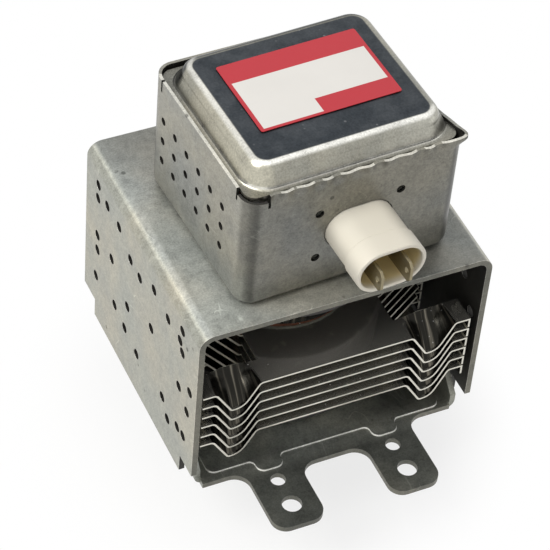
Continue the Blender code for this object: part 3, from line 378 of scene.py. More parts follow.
print("films:", [film.__name__ for film in (yoke_painted_light, box_painted_shade, plate_painted_light)])

# %% The sheet steels of this object
EVEN = (60, 60, 60)
FRONT_TO_BACK = (14, 700, 14)
SIDE_TO_SIDE = (700, 14, 14)

yoke_steel = sheet_steel(
    "yoke_zinc_steel", tone(166, 168, 162), tone(172, 169, 158), 0.62, 0.40, FRONT_TO_BACK,
    yoke_painted_light,
)
# Dark steel painted where shade falls: the insides of the yoke and the box, and their holes.
painted_shade_steel = sheet_steel(
    "painted_shade_inner_steel", tone(36, 35, 32), tone(46, 45, 41), 0.35, 0.50, EVEN,
)
# A near-white steel painted on the plate's step as a highlight.
step_highlight = sheet_steel(
    "pressed_step_painted_highlight", tone(246, 246, 240), tone(250, 249, 242), 0.20, 0.35, EVEN,
)
cut_steel = sheet_steel(
    "sheared_steel_edge", tone(98, 98, 90), tone(114, 112, 102), 0.6, 0.42, EVEN,
)
# A pale steel that paints a highlight on bevelled edges and on rim tops.
painted_highlight_steel = sheet_steel(
    "painted_highlight_steel_edge", tone(206, 206, 198), tone(216, 213, 202), 0.50, 0.30, EVEN,
)
plate_steel = sheet_steel(
    "plate_zinc_steel", tone(126, 129, 123), tone(140, 140, 130), 0.62, 0.40, FRONT_TO_BACK,
    plate_painted_light,
)
box_steel = sheet_steel(
    "box_tin_steel", tone(138, 139, 134), tone(146, 143, 131), 0.62, 0.38, SIDE_TO_SIDE,
    box_painted_shade,
)
print("sheet steels:", yoke_steel.material.name, plate_steel.material.name)

# %% [markdown]
# ## From outline to sheet metal
#
# Nearly every piece here is a bent sheet, a pressed sheet or a turned ring. A bent sheet
# is easiest as a path with rounded corners, thickened to both sides and extruded. A ring
# is a profile spun round an axis. Holes are cut with exact Booleans, which are applied at
# once so that no cutter stays in the scene.

# %% Outlines
def circle(radius, sides, centre=(0.0, 0.0)):
    """Points round a centre."""
    turn = 2 * math.pi / sides
    return [
        (centre[0] + radius * math.cos(turn * k), centre[1] + radius * math.sin(turn * k))
        for k in range(sides)
    ]


def rectangle(left, low, high_x, high_y):
    """The four corners between two opposite ones."""
    return [(left, low), (high_x, low), (high_x, high_y), (left, high_y)]


def corner_arc(before, corner, after, radius, steps):
    """Points of the arc that rounds one corner of a path."""
    corner = Vector(corner)
    come = (Vector(before) - corner).normalized()
    leave = (Vector(after) - corner).normalized()
    half = come.angle(leave) / 2
    middle = corner + (come + leave).normalized() * radius / math.sin(half)
    first = corner + come * radius / math.tan(half) - middle
    turning = come.x * leave.y - come.y * leave.x
    sweep = math.copysign(math.pi - 2 * half, -turning)
    points = []
    for k in range(steps + 1):
        spoke = first.copy()
        spoke.rotate(Matrix.Rotation(sweep * k / steps, 2))
        points.append(tuple(middle + spoke))
    return points


print("points of a quarter arc:", len(corner_arc((1, 0), (0, 0), (0, 1), 0.1, 8)))


# %% Rounded outlines and bent paths
def rounded_outline(corners, steps=8):
    """A closed outline from corners given as (x, y, radius)."""
    points = []
    for index, (x, y, radius) in enumerate(corners):
        before = corners[index - 1][:2]
        after = corners[(index + 1) % len(corners)][:2]
        points += corner_arc(before, (x, y), after, radius, steps) if radius else [(x, y)]
    return points


def bent_path(path, radii, steps=8):
    """An open path whose inner corners are rounded, each by its own radius."""
    points = [path[0]]
    for before, corner, after, radius in zip(path, path[1:], path[2:], radii):
        points += corner_arc(before, corner, after, radius, steps) if radius else [corner]
    return points + [path[-1]]


def strip_outline(path, thickness):
    """The closed section of a sheet whose middle follows a path."""
    left = []
    far = []
    for index, point in enumerate(path):
        here = Vector(point)
        come = here - Vector(path[index - 1]) if index else Vector(path[1]) - here
        leave = Vector(path[index + 1]) - here if index + 1 < len(path) else come
        come.normalize()
        leave.normalize()
        side = Vector((-(come.y + leave.y), come.x + leave.x)).normalized()
        reach = thickness / 2 / side.dot(Vector((-come.y, come.x)))
        left.append(tuple(here + side * reach))
        far.append(tuple(here - side * reach))
    return left + far[::-1]


unit = [(x, y, 0.1) for x, y in rectangle(0, 0, 1, 1)]
print("a rounded square has", len(rounded_outline(unit)), "points")


# %% Solids
def along_x(u, v, height):
    return Vector((height, u, v))


def along_y(u, v, height):
    return Vector((u, height, v))


def along_z(u, v, height):
    return Vector((u, v, height))


def loft(bm, loops, caps=True):
    """Skin a row of loops with the same number of points."""
    rows = [[bm.verts.new(point) for point in loop] for loop in loops]
    count = len(rows[0])
    for low, high in zip(rows, rows[1:]):
        for k in range(count):
            after = (k + 1) % count
            bm.faces.new((low[k], low[after], high[after], high[k]))
    if caps:
        bm.faces.new(rows[0][::-1])
        bm.faces.new(rows[-1])
    return bm


def prism(bm, outline, low, high, place=along_z, taper=None):
    """Extrude an outline along an axis; taper is the outline at the far end."""
    far = taper or outline
    return loft(bm, [
        [place(u, v, low) for u, v in outline], [place(u, v, high) for u, v in far],
    ])


def turned(profile, sides=96):
    """Spin a closed profile of (radius, height) points round the Z axis."""
    bm = bmesh.new()
    verts = [bm.verts.new((radius, 0.0, height)) for radius, height in profile]
    edges = [bm.edges.new(pair) for pair in zip(verts, verts[1:])]
    if profile[0][0] > 0:
        edges.append(bm.edges.new((verts[-1], verts[0])))
    bmesh.ops.spin(
        bm, geom=verts + edges, cent=(0, 0, 0), axis=(0, 0, 1),
        angle=2 * math.pi, steps=sides, use_merge=True,
    )
    bmesh.ops.remove_doubles(bm, verts=bm.verts, dist=1e-7)
    return bm


def bars(centres, radius, low, high, place, sides=24):
    """Round bars through a list of centres, as one cutter."""
    bm = bmesh.new()
    for centre in centres:
        prism(bm, circle(radius, sides, centre), low, high, place)
    return bm


print("solid helpers ready")

# %% Pieces
def shape(name, bm):
    """Turn a mesh under construction into an object of the scene."""
    bmesh.ops.recalc_face_normals(bm, faces=bm.faces)
    mesh = bpy.data.meshes.new(name)
    bm.to_mesh(mesh)
    bm.free()
    obj = bpy.data.objects.new(name, mesh)
    bpy.context.scene.collection.objects.link(obj)
    return obj


def settle(obj):
    """Replace a piece's mesh by what its modifiers make of it."""
    graph = bpy.context.evaluated_depsgraph_get()
    mesh = bpy.data.meshes.new_from_object(obj.evaluated_get(graph))
    obj.modifiers.clear()
    plain = obj.data
    obj.data = mesh
    bpy.data.meshes.remove(plain)


def carve(obj, bm, operation="DIFFERENCE"):
    """Cut a shape from a piece, or join it on, and throw the tool away."""
    tool = shape("tool", bm)
    change = obj.modifiers.new("carve", "BOOLEAN")
    change.operation = operation
    change.object = tool
    change.solver = "EXACT"
    settle(obj)
    bpy.data.objects.remove(tool)


def dress(obj, finish, slot, *nodes, edge=0.0, angle=35, edge_highlight=None, at=None):
    """Shade a piece, soften its edges, paint a highlight on them if asked, and let it stand for
    its CAD nodes.
    """
    if not obj.data.materials:
        obj.data.materials.append(finish.material)
    obj.data.shade_smooth()
    obj.data.set_sharp_from_angle(angle=math.radians(angle))
    if edge:
        soft = obj.modifiers.new("soft_edges", "BEVEL")
        soft.width = edge
        soft.segments = 2
        soft.limit_method = "ANGLE"
        soft.angle_limit = math.radians(angle)
        soft.harden_normals = True
    if edge_highlight:
        obj.data.materials.append(edge_highlight.material)
        soft.material = len(obj.data.materials) - 1
    if at is not None:
        obj.matrix_world = at
    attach(obj, "root")
    if nodes:
        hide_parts(*nodes)
    print(obj.name, "has", len(obj.data.polygons), "faces")
    return obj


print("piece helpers ready")

# %% [markdown]
# ## The yoke
#
# One strip of sheet steel is folded into an upside-down U. Its walls are punched with
# small holes for the cooling air, in an uneven pattern, and its feet are notched at the
# corners so that they pass the plate. The strip's section is drawn once and extruded
# from front to back. The cut faces at the front and the back are darker than the skin,
# with painted highlights on their arrises. The insides and the punched holes are
# painted dark as shade.

# %% The yoke's sizes
SHEET = 0.0016
YOKE_BEND = 0.0024
HOLE_RADIUS = 0.00150
WALL_HOLES = (
    (0.0096, 0.0428), (0.0102, 0.0500), (0.0113, 0.0456), (0.0190, 0.0456), (0.0282, 0.0470),
    (0.0373, 0.0425), (0.0436, 0.0431), (0.0516, 0.0474), (0.0596, 0.0475), (0.0658, 0.0493),
    (0.0659, 0.0446), (0.0041, 0.0339), (0.0051, 0.0256), (0.0106, 0.0295), (0.0289, 0.0323),
    (0.0445, 0.0249), (0.0558, 0.0318), (0.0655, 0.0260), (0.0657, 0.0312), (0.0065, 0.0150),
    (0.0102, 0.0145), (0.0163, 0.0110), (0.0201, 0.0155), (0.0374, 0.0140), (0.0458, 0.0156),
    (0.0529, 0.0173), (0.0661, 0.0158),
)
NOTCH_LENGTH = 0.0075
NOTCH_TOP = 0.0062
STEM_BORE = 0.0120
STEM_CUT = 0.004
SPARE = 0.001
END_BAND = 1e-4
SKIN = 0.0003

yoke_low, yoke_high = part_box("yoke")
half = SHEET / 2
print("holes through each wall:", len(WALL_HOLES))

# %% Fold and punch the yoke
strip = bent_path(
    [
        (yoke_low.x + half, yoke_low.z), (yoke_low.x + half, yoke_high.z - half),
        (yoke_high.x - half, yoke_high.z - half), (yoke_high.x - half, yoke_low.z),
    ],
    (YOKE_BEND + half,) * 2, 12,
)
yoke = shape("yoke_sheet", prism(
    bmesh.new(), strip_outline(strip, SHEET), yoke_low.y, yoke_high.y, along_y,
))
carve(yoke, bars([(0, 0)], STEM_BORE, yoke_high.z - STEM_CUT, yoke_high.z + SPARE, along_z, 64))
centres = [(yoke_low.y + behind, height) for behind, height in WALL_HOLES]
carve(yoke, bars(centres, HOLE_RADIUS, yoke_low.x - SPARE, yoke_high.x + SPARE, along_x))
notches = bmesh.new()
for near, far in (
    (yoke_low.y - SPARE, yoke_low.y + NOTCH_LENGTH),
    (yoke_high.y - NOTCH_LENGTH, yoke_high.y + SPARE),
):
    prism(
        notches, rectangle(near, yoke_low.z - SPARE, far, NOTCH_TOP),
        yoke_low.x - SPARE, yoke_high.x + SPARE, along_x,
    )
carve(yoke, notches)
print("yoke folded, faces:", len(yoke.data.polygons))

# %% Tell the yoke's faces apart
yoke.data.materials.clear()
for finish in (yoke_steel, cut_steel, painted_shade_steel):
    yoke.data.materials.append(finish.material)
bend = YOKE_BEND + SHEET
half_wide = (yoke_high.x - yoke_low.x) / 2
# The end faces get the darker sheared steel, and the inner faces and hole walls the steel painted
# dark as shade.
for face in yoke.data.polygons:
    over = max(abs(face.center.x - yoke_low.x - half_wide) - half_wide + bend, 0)
    above = max(face.center.z - (yoke_high.z - bend), 0)
    if not yoke_low.y + END_BAND < face.center.y < yoke_high.y - END_BAND:
        face.material_index = 1
    elif math.hypot(over, above) < bend - SKIN:
        face.material_index = 2
# The yoke's bevels carry a painted highlight.
dress(yoke, yoke_steel, "zinc_steel", "yoke", edge=0.00028, edge_highlight=painted_highlight_steel)

# %% [markdown]
# ## The mounting plate
#
# The plate is pressed from the same sheet. Its middle is raised a little, with a small
# bulge towards each ear, and its two sides are turned up inside the yoke. The bolt holes
# are in the ears. The step of the raise is not upright but leans, so the raise is an
# extrusion whose top outline is smaller than its foot. The step is painted bright as a
# highlight, and the plate's cut edges are darker, with painted highlights on their arrises.

# %% The plate's sizes
PLATE_BEND = 0.0010
RAISE = 0.0004
EAR_X = 0.01645
EAR_HALF = 0.0071
EAR_TIP = 0.0209
EAR_BOLT = (0.00265, 0.0069)
EAR_PILOT = (0.0020, 0.01545)
MIDDLE_REACH = 0.0029
RIGHT_SETBACK = 0.0015
FLANGE_SETBACK = 0.0019
FLANGE_NOSE = 0.0048
PLATE_BORE = 0.0115
EAR_ROOT_ROUND = 0.0045
EAR_TIP_ROUND = 0.0040
RAISE_SIDE = 0.0025
RAISE_FRONT = 0.0022
RAISE_BACK = 0.0050
RAISE_ROUND = 0.0022
BULGE_REACH = 0.0041
BULGE_HALF = 0.0038
BULGE_ROOT = 0.0016
RAISE_SLOPE = 0.0002
HOLLOW_FOOT = 0.0009
HOLLOW_TOP = 0.0014
STEP_LEAN = 0.6

plate_low, plate_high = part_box("base_plate")
front = yoke_low.y
back = yoke_high.y
tip = front - EAR_TIP
beside = front + RIGHT_SETBACK
flat_left = plate_low.x + SHEET
flat_right = plate_high.x - SHEET
print("the ears reach", EAR_TIP, "in front of the yoke")


# %% Outlines of the plate and its raise
def raise_outline(inset):
    """The raise, shrunk by an inset all round."""
    left_x = flat_left + RAISE_SIDE + inset
    right_x = flat_right - RAISE_SIDE - inset
    near = front + RAISE_FRONT + inset
    far = back - RAISE_BACK - inset
    bulge = near - BULGE_REACH
    half_bulge = BULGE_HALF - inset
    corners = [(left_x, far, RAISE_ROUND), (left_x, near, RAISE_ROUND)]
    for ear in (-EAR_X, EAR_X):
        corners += [
            (ear - half_bulge, near, BULGE_ROOT), (ear - half_bulge, bulge, RAISE_ROUND),
            (ear + half_bulge, bulge, RAISE_ROUND), (ear + half_bulge, near, BULGE_ROOT),
        ]
    corners += [(right_x, near, RAISE_ROUND), (right_x, far, RAISE_ROUND)]
    return rounded_outline(corners)


def ear_corners(middle, left_root, right_root):
    """An ear's four corners from left to right; the roots are where it leaves the plate."""
    return [
        (middle - EAR_HALF, left_root, EAR_ROOT_ROUND), (middle - EAR_HALF, tip, EAR_TIP_ROUND),
        (middle + EAR_HALF, tip, EAR_TIP_ROUND), (middle + EAR_HALF, right_root, EAR_ROOT_ROUND),
    ]


plate_corners = [(flat_left, back, 0), (flat_left, front, 0)]
plate_corners += ear_corners(-EAR_X, front, front - MIDDLE_REACH)
plate_corners += ear_corners(EAR_X, front - MIDDLE_REACH, beside)
plate_corners += [(flat_right, beside, 0), (flat_right, back, 0)]
print("corners of the plate:", len(plate_corners))

# %% Press the mounting plate
plate = shape("mounting_plate", prism(
    bmesh.new(), rounded_outline(plate_corners), 0, SHEET,
))
for outer, inward in ((plate_low.x, 1), (plate_high.x, -1)):
    side = strip_outline(bent_path(
        [
            (outer + inward * half, plate_high.z), (outer + inward * half, half),
            (outer + inward * (SHEET + PLATE_BEND + SPARE), half),
        ],
        (PLATE_BEND + half,),
    ), SHEET)
    carve(plate, prism(bmesh.new(), side, front + FLANGE_SETBACK, back, along_y), "UNION")
carve(plate, prism(
    bmesh.new(), raise_outline(0), SHEET - RAISE_SLOPE, SHEET + RAISE,
    taper=raise_outline(RAISE_SLOPE),
), "UNION")
carve(plate, prism(
    bmesh.new(), raise_outline(HOLLOW_FOOT), -SPARE, RAISE, taper=raise_outline(HOLLOW_TOP),
))
print("plate pressed, faces:", len(plate.data.polygons))

# %% Trim the flanges and bore the plate
nose = plate_high.z - FLANGE_NOSE + SPARE
nose_front = front + FLANGE_SETBACK
carve(plate, prism(
    bmesh.new(),
    [
        (nose_front - SPARE, FLANGE_NOSE - SPARE), (nose_front + nose, plate_high.z + SPARE),
        (nose_front - SPARE, plate_high.z + SPARE),
    ],
    plate_low.x - SPARE, plate_high.x + SPARE, along_x,
))
carve(plate, bars([(0, 0)], PLATE_BORE, -SPARE, SHEET + RAISE + SPARE, along_z, 64))
for radius, inset in (EAR_BOLT, EAR_PILOT):
    ears = [(x, tip + inset) for x in (-EAR_X, EAR_X)]
    carve(plate, bars(ears, radius, -SPARE, SHEET + SPARE, along_z, 40))
print("holes in each ear:", len((EAR_BOLT, EAR_PILOT)))

# %% Tell the plate's faces apart
for finish in (plate_steel, step_highlight, cut_steel):
    plate.data.materials.append(finish.material)
# The leaning step of the raise is painted bright as a highlight; the cut edges get the darker
# sheared steel.
for face in plate.data.polygons:
    between = flat_left + SPARE < face.center.x < flat_right - SPARE
    if between and abs(face.normal.z) < STEP_LEAN:
        face.material_index = 1 if face.center.z > SHEET else 2
dress(
    plate, plate_steel, "zinc_steel", "base_plate", edge=0.00022, angle=28, edge_highlight=painted_highlight_steel,
)

# %% [markdown]
# ## Rings: magnets, tube ends and the antenna
#
# These pieces are round, so each is a short profile spun round the tube's axis, with
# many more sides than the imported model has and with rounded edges. The ferrite magnets
# are dull, nearly black and slightly chipped. The tube's end flanges are bright nickel.
# The antenna's insulator is white alumina, its gasket knitted wire.

# %% A finish of two tones
def two_tone(name, patches, dark, pale, gloss, dents=None, **fixed):
    """Patches of two tones. gloss holds the lowest roughness, its swing and its noise."""
    made = Finish(name, **fixed)
    lowest, swing, *grain = gloss
    made.wear(
        Base_Color=made.mix(made.noise(*patches), tone(*dark), tone(*pale)),
        Roughness=lowest + made.noise(*grain) * swing,
    )
    if dents:
        pattern, depth, strength = dents
        made.bump(made.noise(*pattern), depth, strength)
    print("made", name)
    return made


# %% Finishes of the round pieces
ferrite = Finish("black_ferrite", Metallic=0.0)
chips = ferrite.fade(ferrite.noise(260, 3.0), 0.60, 0.70)
ferrite_tone = ferrite.mix(chips, tone(66, 64, 63), tone(88, 86, 82))
ferrite.wear(
    Base_Color=ferrite_tone * (0.85 + ferrite.noise(40) * 0.3),
    Roughness=0.40 + ferrite.noise(600) * 0.15,
)
ferrite.bump(ferrite.noise(420, 3.0) - chips * 0.4, 0.0004, 0.5)

SPUN = ((30, 30, 2600), 1.0)
nickel = two_tone(
    "bright_nickel", (60, 3.0), (206, 201, 192), (232, 227, 216), (0.13, 0.14, *SPUN),
    (SPUN, 0.00003, 0.4), Metallic=1.0,
)
alumina = two_tone(
    "white_alumina", (120, 3.0), (228, 222, 214), (238, 234, 228), (0.42, 0.2, 300),
    ((900,), 0.00005, 0.4), Metallic=0.0,
)

knit = Finish("knitted_wire", Metallic=1.0)
stitches = abs(knit.noise((900, 900, 500), 1.0) - 0.5) * 2
knit.wear(
    Base_Color=knit.mix(knit.fade(stitches, 0.05, 0.5), tone(90, 88, 82), tone(190, 188, 180)),
    Roughness=0.35 + stitches * 0.3,
)
knit.bump(stitches, 0.0005, 1.0)
print("round finishes:", ferrite.material.name, nickel.material.name)


# %% Spin the magnets and the tube's end
def soft_ring(inner, outer, low, high, soft):
    """The profile of a ring with rounded outer and inner edges."""
    return rounded_outline(
        [(inner, low, soft), (outer, low, soft), (outer, high, soft), (inner, high, soft)], 4,
    )


MAGNET_BORE = 0.0110
MAGNET_ROUND = 0.0006
for name in ("magnet_lower", "magnet_upper"):
    low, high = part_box(name)
    ring = soft_ring(MAGNET_BORE, high.x, low.z, high.z, MAGNET_ROUND)
    dress(shape(name + "_ring", turned(ring)), ferrite, "ferrite", name)

PIPE_RADIUS = 0.0098
PIPE_WALL = 0.0008
STEP_RADIUS = 0.0118
SEAL_SHEET = 0.0009
STEP_RISE = 0.0010
low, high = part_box("seal_upper")
shelf = low.z + SEAL_SHEET
upper_end = rounded_outline([
    (PIPE_RADIUS - PIPE_WALL, low.z, 0), (high.x, low.z, 0.0003), (high.x, shelf, 0.0005),
    (STEP_RADIUS, shelf, 0.0004), (STEP_RADIUS, shelf + STEP_RISE, 0.0005),
    (PIPE_RADIUS, shelf + STEP_RISE, 0.0004), (PIPE_RADIUS, high.z, 0.0003),
    (PIPE_RADIUS - PIPE_WALL, high.z, 0.0003),
], 5)
dress(shape("tube_end_upper", turned(upper_end)), nickel, "nickel", "seal_upper")

# %% Spin the antenna's pieces
GASKET_GAP = 0.0003
GASKET_ROUND = 0.0014
low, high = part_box("antenna_gasket")
gasket = soft_ring(PIPE_RADIUS + GASKET_GAP, high.x, low.z, high.z, GASKET_ROUND)
dress(shape("mesh_gasket", turned(gasket)), knit, "wire_mesh", "antenna_gasket")

CERAMIC_WALL = 0.0015
CERAMIC_ROUND = 0.0004
low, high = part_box("antenna_ceramic")
insulator = soft_ring(high.x - CERAMIC_WALL, high.x, low.z, high.z, CERAMIC_ROUND)
dress(shape("antenna_insulator", turned(insulator)), alumina, "white_ceramic", "antenna_ceramic")

CAP_WALL = 0.0006
CAP_EDGE = 0.0016
CAP_FLOOR = 0.0018
CAP_CHAMFER = 0.0001
low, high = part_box("antenna_cap")
floor_top = low.z + CAP_FLOOR
cap = [(0.0, low.z)]
cap += corner_arc((0, low.z), (high.x, low.z), (high.x, high.z), CAP_EDGE, 6)
cap += [
    (high.x, high.z - CAP_CHAMFER), (high.x - CAP_CHAMFER, high.z),
    (high.x - CAP_WALL, high.z), (high.x - CAP_WALL, floor_top), (0.0, floor_top),
]
dress(shape("antenna_end_cap", turned(cap)), nickel, "nickel", "antenna_cap")

# %% [markdown]
# ## The cooling fins
#
# Six fins of thin bright aluminium are pressed alike. Behind a level lip, near each front
# and back corner, the sheet dips into a short trough with one sharp and one soft lower
# bend. Behind the trough a window is open, and a wing is cut free and bent up at fifty
# degrees. One side ends in a turned-down comb. A fin is built as a grid of points that
# follows the trough's section, thickened by Solidify, and then cut and joined round the
# anode. The flats are close to a mirror. The pressed parts are streaky and painted dark
# as shade and dark reflection, and the cut edges are painted bright as a highlight.

# %% Rolled aluminium
aluminium = Finish("rolled_aluminium", Metallic=0.88)
drawn = aluminium.noise((1300, 24, 24), 3.0, 0.6)
smear = aluminium.noise((380, 20, 40), 2.0)
haze = aluminium.noise(70, 3.0)
dust_and_shade = aluminium.fade(aluminium.cells(420), 0.10, 0.05)
dust_and_shade = dust_and_shade * aluminium.fade(aluminium.noise(60), 0.5, 0.6)
pressed = aluminium.fade(abs(aluminium.facing("Z")), 0.985, 0.90)
streak = aluminium.fade(drawn * 0.55 + smear * 0.45, 0.50, 0.72)
flat_tone = aluminium.mix(haze, tone(202, 200, 191), tone(218, 215, 206))
# On the pressed slopes, streaks painted dark as shade and dark reflection.
streak_and_shade_tone = aluminium.mix(streak, tone(36, 35, 31), tone(148, 142, 128))
aluminium.wear(
    Base_Color=aluminium.mix(pressed, flat_tone, streak_and_shade_tone) + dust_and_shade * 0.25,
    Roughness=0.07 + haze * 0.04 + dust_and_shade * 0.3 + pressed * (0.10 + smear * 0.18),
)
aluminium.bump(haze * 0.5 + pressed * (drawn * 0.5 + smear * 1.2), 0.00020, 0.5)

# Cut edges painted bright as a highlight.
aluminium_edge_highlight = Finish("aluminium_edge_painted_highlight", Metallic=0.55)
nick = aluminium_edge_highlight.noise(900, 2.0)
aluminium_edge_highlight.wear(
    Base_Color=aluminium_edge_highlight.mix(nick, tone(206, 203, 190), tone(240, 237, 226)),
    Roughness=0.30 + nick * 0.16,
)
print("fin finishes:", aluminium.material.name, aluminium_edge_highlight.material.name)

# %% The fin's section and its rows
FIN_SHEET = 0.0005
FIN_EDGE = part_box("fin_1")[1].y
FIN_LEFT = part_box("fin_1")[0].x
FIN_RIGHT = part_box("fin_1")[1].x - FIN_SHEET / 2
FIN_LIFT = 0.0012
COMB_DROP = 0.0028
TROUGH_X = 0.02715
TROUGH_HALF = 0.0060
TROUGH_FLOOR = 0.0016
TROUGH_DEPTH = 0.0072
TONGUE = 0.0075
LIP = 0.0008
HINGE = 0.01895
WING_FRONT = 0.0164
WING_LENGTH = 0.0080
WING_ANGLE = math.radians(50)
ANODE_BORE = 0.0198
COLLAR_HEIGHT = 0.0024
TROUGH_START = 0.0018
TROUGH_END = 0.0015
TROUGH_ROUNDS = (0.0016, 0.0010, 0.0042, 0.0012)
TONGUE_CROWN = 0.0011
SLOPE_ROWS = 6
WING_END = 0.0003
WING_BEND = 0.0012
WING_STEPS = 5


def trough_path(centre):
    """Middle of the sheet across one trough, from left to right, as (x, depth)."""
    first = centre - TROUGH_HALF
    last = centre + TROUGH_HALF
    path = [
        (first - TROUGH_START, 0), (first, 0), (centre - TROUGH_FLOOR, -TROUGH_DEPTH),
        (centre + TROUGH_FLOOR, -TROUGH_DEPTH), (last, 0), (last + TROUGH_END, 0),
    ]
    return bent_path(path, TROUGH_ROUNDS, 5)


left_columns = [(FIN_LEFT, 0.0)] + trough_path(-TROUGH_X) + [(-HINGE, 0.0)]
right_columns = [(HINGE, 0.0)] + trough_path(TROUGH_X) + [(FIN_RIGHT, 0.0)]
print("columns of a fin:", len(left_columns) + len(right_columns))


# %% One fin's middle surface
def trough_share(behind):
    """How deep the trough still is at a distance behind the fin's level front lip."""
    share = 1 - min(max(behind - LIP, 0.0) / (TONGUE - LIP), 1.0)
    return share * (0.55 + 0.45 * share)


def fin_rows():
    """Places from front to back: down the troughs, past the wings, and the same mirrored."""
    behind = [0.0] + [LIP + (TONGUE - LIP) * k / SLOPE_ROWS for k in range(SLOPE_ROWS + 1)]
    behind += [WING_FRONT, WING_FRONT + WING_LENGTH, WING_FRONT + WING_LENGTH + WING_END]
    return [-FIN_EDGE + step for step in behind] + [FIN_EDGE - step for step in behind[::-1]]


def fin_height(index, x, depth, y):
    """Height of the sheet where a column meets a row."""
    height = depth * trough_share(FIN_EDGE - abs(y))
    if index > len(left_columns):
        lift = (x - (TROUGH_X + TROUGH_FLOOR)) / (TROUGH_HALF - TROUGH_FLOOR)
        height += FIN_LIFT * min(max(lift, 0.0), 1.0)
    crown = 1 - ((abs(x) - TROUGH_X) / TROUGH_HALF) ** 2
    if crown > 0 and abs(abs(y) - (FIN_EDGE - TONGUE)) < 1e-6:
        height += TONGUE_CROWN * crown
    return height


print("rows of a fin:", len(fin_rows()))


# %% Skin the grid, turn down the comb and bend the wings
def fin_surface():
    """The middle of one fin's sheet, with windows left open beside the middle."""
    bm = bmesh.new()
    columns = left_columns + right_columns
    hinge = len(left_columns) - 1
    rows = fin_rows()
    grid = [
        [bm.verts.new((x, y, fin_height(k, x, depth, y))) for k, (x, depth) in enumerate(columns)]
        for y in rows
    ]
    last = SLOPE_ROWS + 1
    end = len(rows) - 1
    open_rows = (last, last + 1, last + 2, end - last - 3, end - last - 2, end - last - 1)
    for j in range(end):
        for i in range(len(columns) - 1):
            if j in open_rows and i != hinge:
                continue
            bm.faces.new((grid[j][i], grid[j][i + 1], grid[j + 1][i + 1], grid[j + 1][i]))
    middle = last + 3
    for strip_rows in (range(last + 1), (middle, middle + 1), range(end - last, end + 1)):
        tips = [bm.verts.new((FIN_RIGHT, rows[j], FIN_LIFT - COMB_DROP)) for j in strip_rows]
        for k, (j, after) in enumerate(zip(strip_rows, list(strip_rows)[1:])):
            bm.faces.new((grid[j][-1], tips[k], tips[k + 1], grid[after][-1]))
    for j in (last + 1, end - last - 2):
        for column, reach, way in (
            (hinge, abs(FIN_LEFT) - HINGE, -1), (hinge + 1, FIN_RIGHT - HINGE, 1),
        ):
            bend_wing(bm, grid[j][column], grid[j + 1][column], reach, way)
    loose = [vert for vert in bm.verts if not vert.link_faces]
    bmesh.ops.delete(bm, geom=loose, context="VERTS")
    return bm


def bend_wing(bm, near, far, reach, way):
    """A wing that leaves its hinge in a short curve and then runs straight."""
    parts = [
        (WING_ANGLE * (k + 0.5) / WING_STEPS, WING_BEND / WING_STEPS)
        for k in range(WING_STEPS)
    ]
    before = (near, far)
    offset = Vector((0, 0, 0))
    for angle, length in parts + [(WING_ANGLE, reach - WING_BEND)]:
        offset += Vector((way * math.cos(angle), 0, math.sin(angle))) * length
        after = (bm.verts.new(near.co + offset), bm.verts.new(far.co + offset))
        bm.faces.new((before[0], before[1], after[1], after[0]))
        before = after


print("fin helpers ready")

# %% Press the stack
for number in range(1, 7):
    node = "fin_" + str(number)
    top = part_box(node)[1].z
    fin = shape("cooling_fin_" + str(number), fin_surface())
    fin.data.materials.append(aluminium.material)
    fin.data.materials.append(aluminium_edge_highlight.material)
    sheet = fin.modifiers.new("sheet", "SOLIDIFY")
    sheet.thickness = FIN_SHEET
    sheet.offset = 0
    # The sheet's cut rims get the edge finish painted as a highlight.
    sheet.material_offset_rim = 1
    sheet.use_even_offset = True
    settle(fin)
    collar = turned(
        [
            (ANODE_BORE - SPARE, 0), (ANODE_BORE + FIN_SHEET, 0),
            (ANODE_BORE + FIN_SHEET, COLLAR_HEIGHT), (ANODE_BORE - SPARE, COLLAR_HEIGHT),
        ], 64,
    )
    carve(fin, collar, "UNION")
    carve(fin, bars([(0, 0)], ANODE_BORE, -SPARE, COLLAR_HEIGHT + SPARE, along_z, 64))
    wing_top = max(vertex.co.z for vertex in fin.data.vertices)
    fin.data.transform(Matrix.Translation((0, 0, top - wing_top)))
    dress(fin, aluminium, "aluminium", node, angle=40)

# %% [markdown]
# ## The filter box
#
# The box is drawn from one sheet, so its corners and its foot are round. Its front rim
# is crimped over the lid in small waves, the right front corner is pinched out to a
# small ear, and the other corners are slit, the left front one lowered too. The right
# and back walls lean in at the rim. Vents run through both side walls. The box sits
# slightly turned on the yoke, so it is modelled straight and then turned as a whole.

# %% The box's sizes
BOX_PLACE = Matrix.Translation((0.00225, -0.00415, 0)) @ Matrix.Rotation(0.049, 4, "Z")
BOX_HALF_X = 0.02972
BOX_HALF_Y = 0.0263
BOX_SHEET = 0.0008
BOX_CORNER = 0.0048
BOX_FOOT = 0.0028
box_low, box_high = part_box("filter_box")
BOX_Z = box_low.z
BOX_RIM = box_high.z
WAVES = 9
WAVE_DEPTH = 0.0007
WAVE_STEPS = 8
RIGHT_LEAN = 0.0020
BACK_LEAN = 0.0014
LEAN_DEPTH = 0.0100
LEAN_START = 0.0030
LEAN_LENGTH = 0.0110
RIM_EAR = 0.0017
EAR_SKEW = 0.45
CORNER_STEPS = 8
SIDE_STEPS = 8
WAVE_EVEN = 0.75
WAVE_TURNS = 23
WAVE_DIP = 0.1
print("the box stands from", round(BOX_Z, 4), "to", round(BOX_RIM, 4))


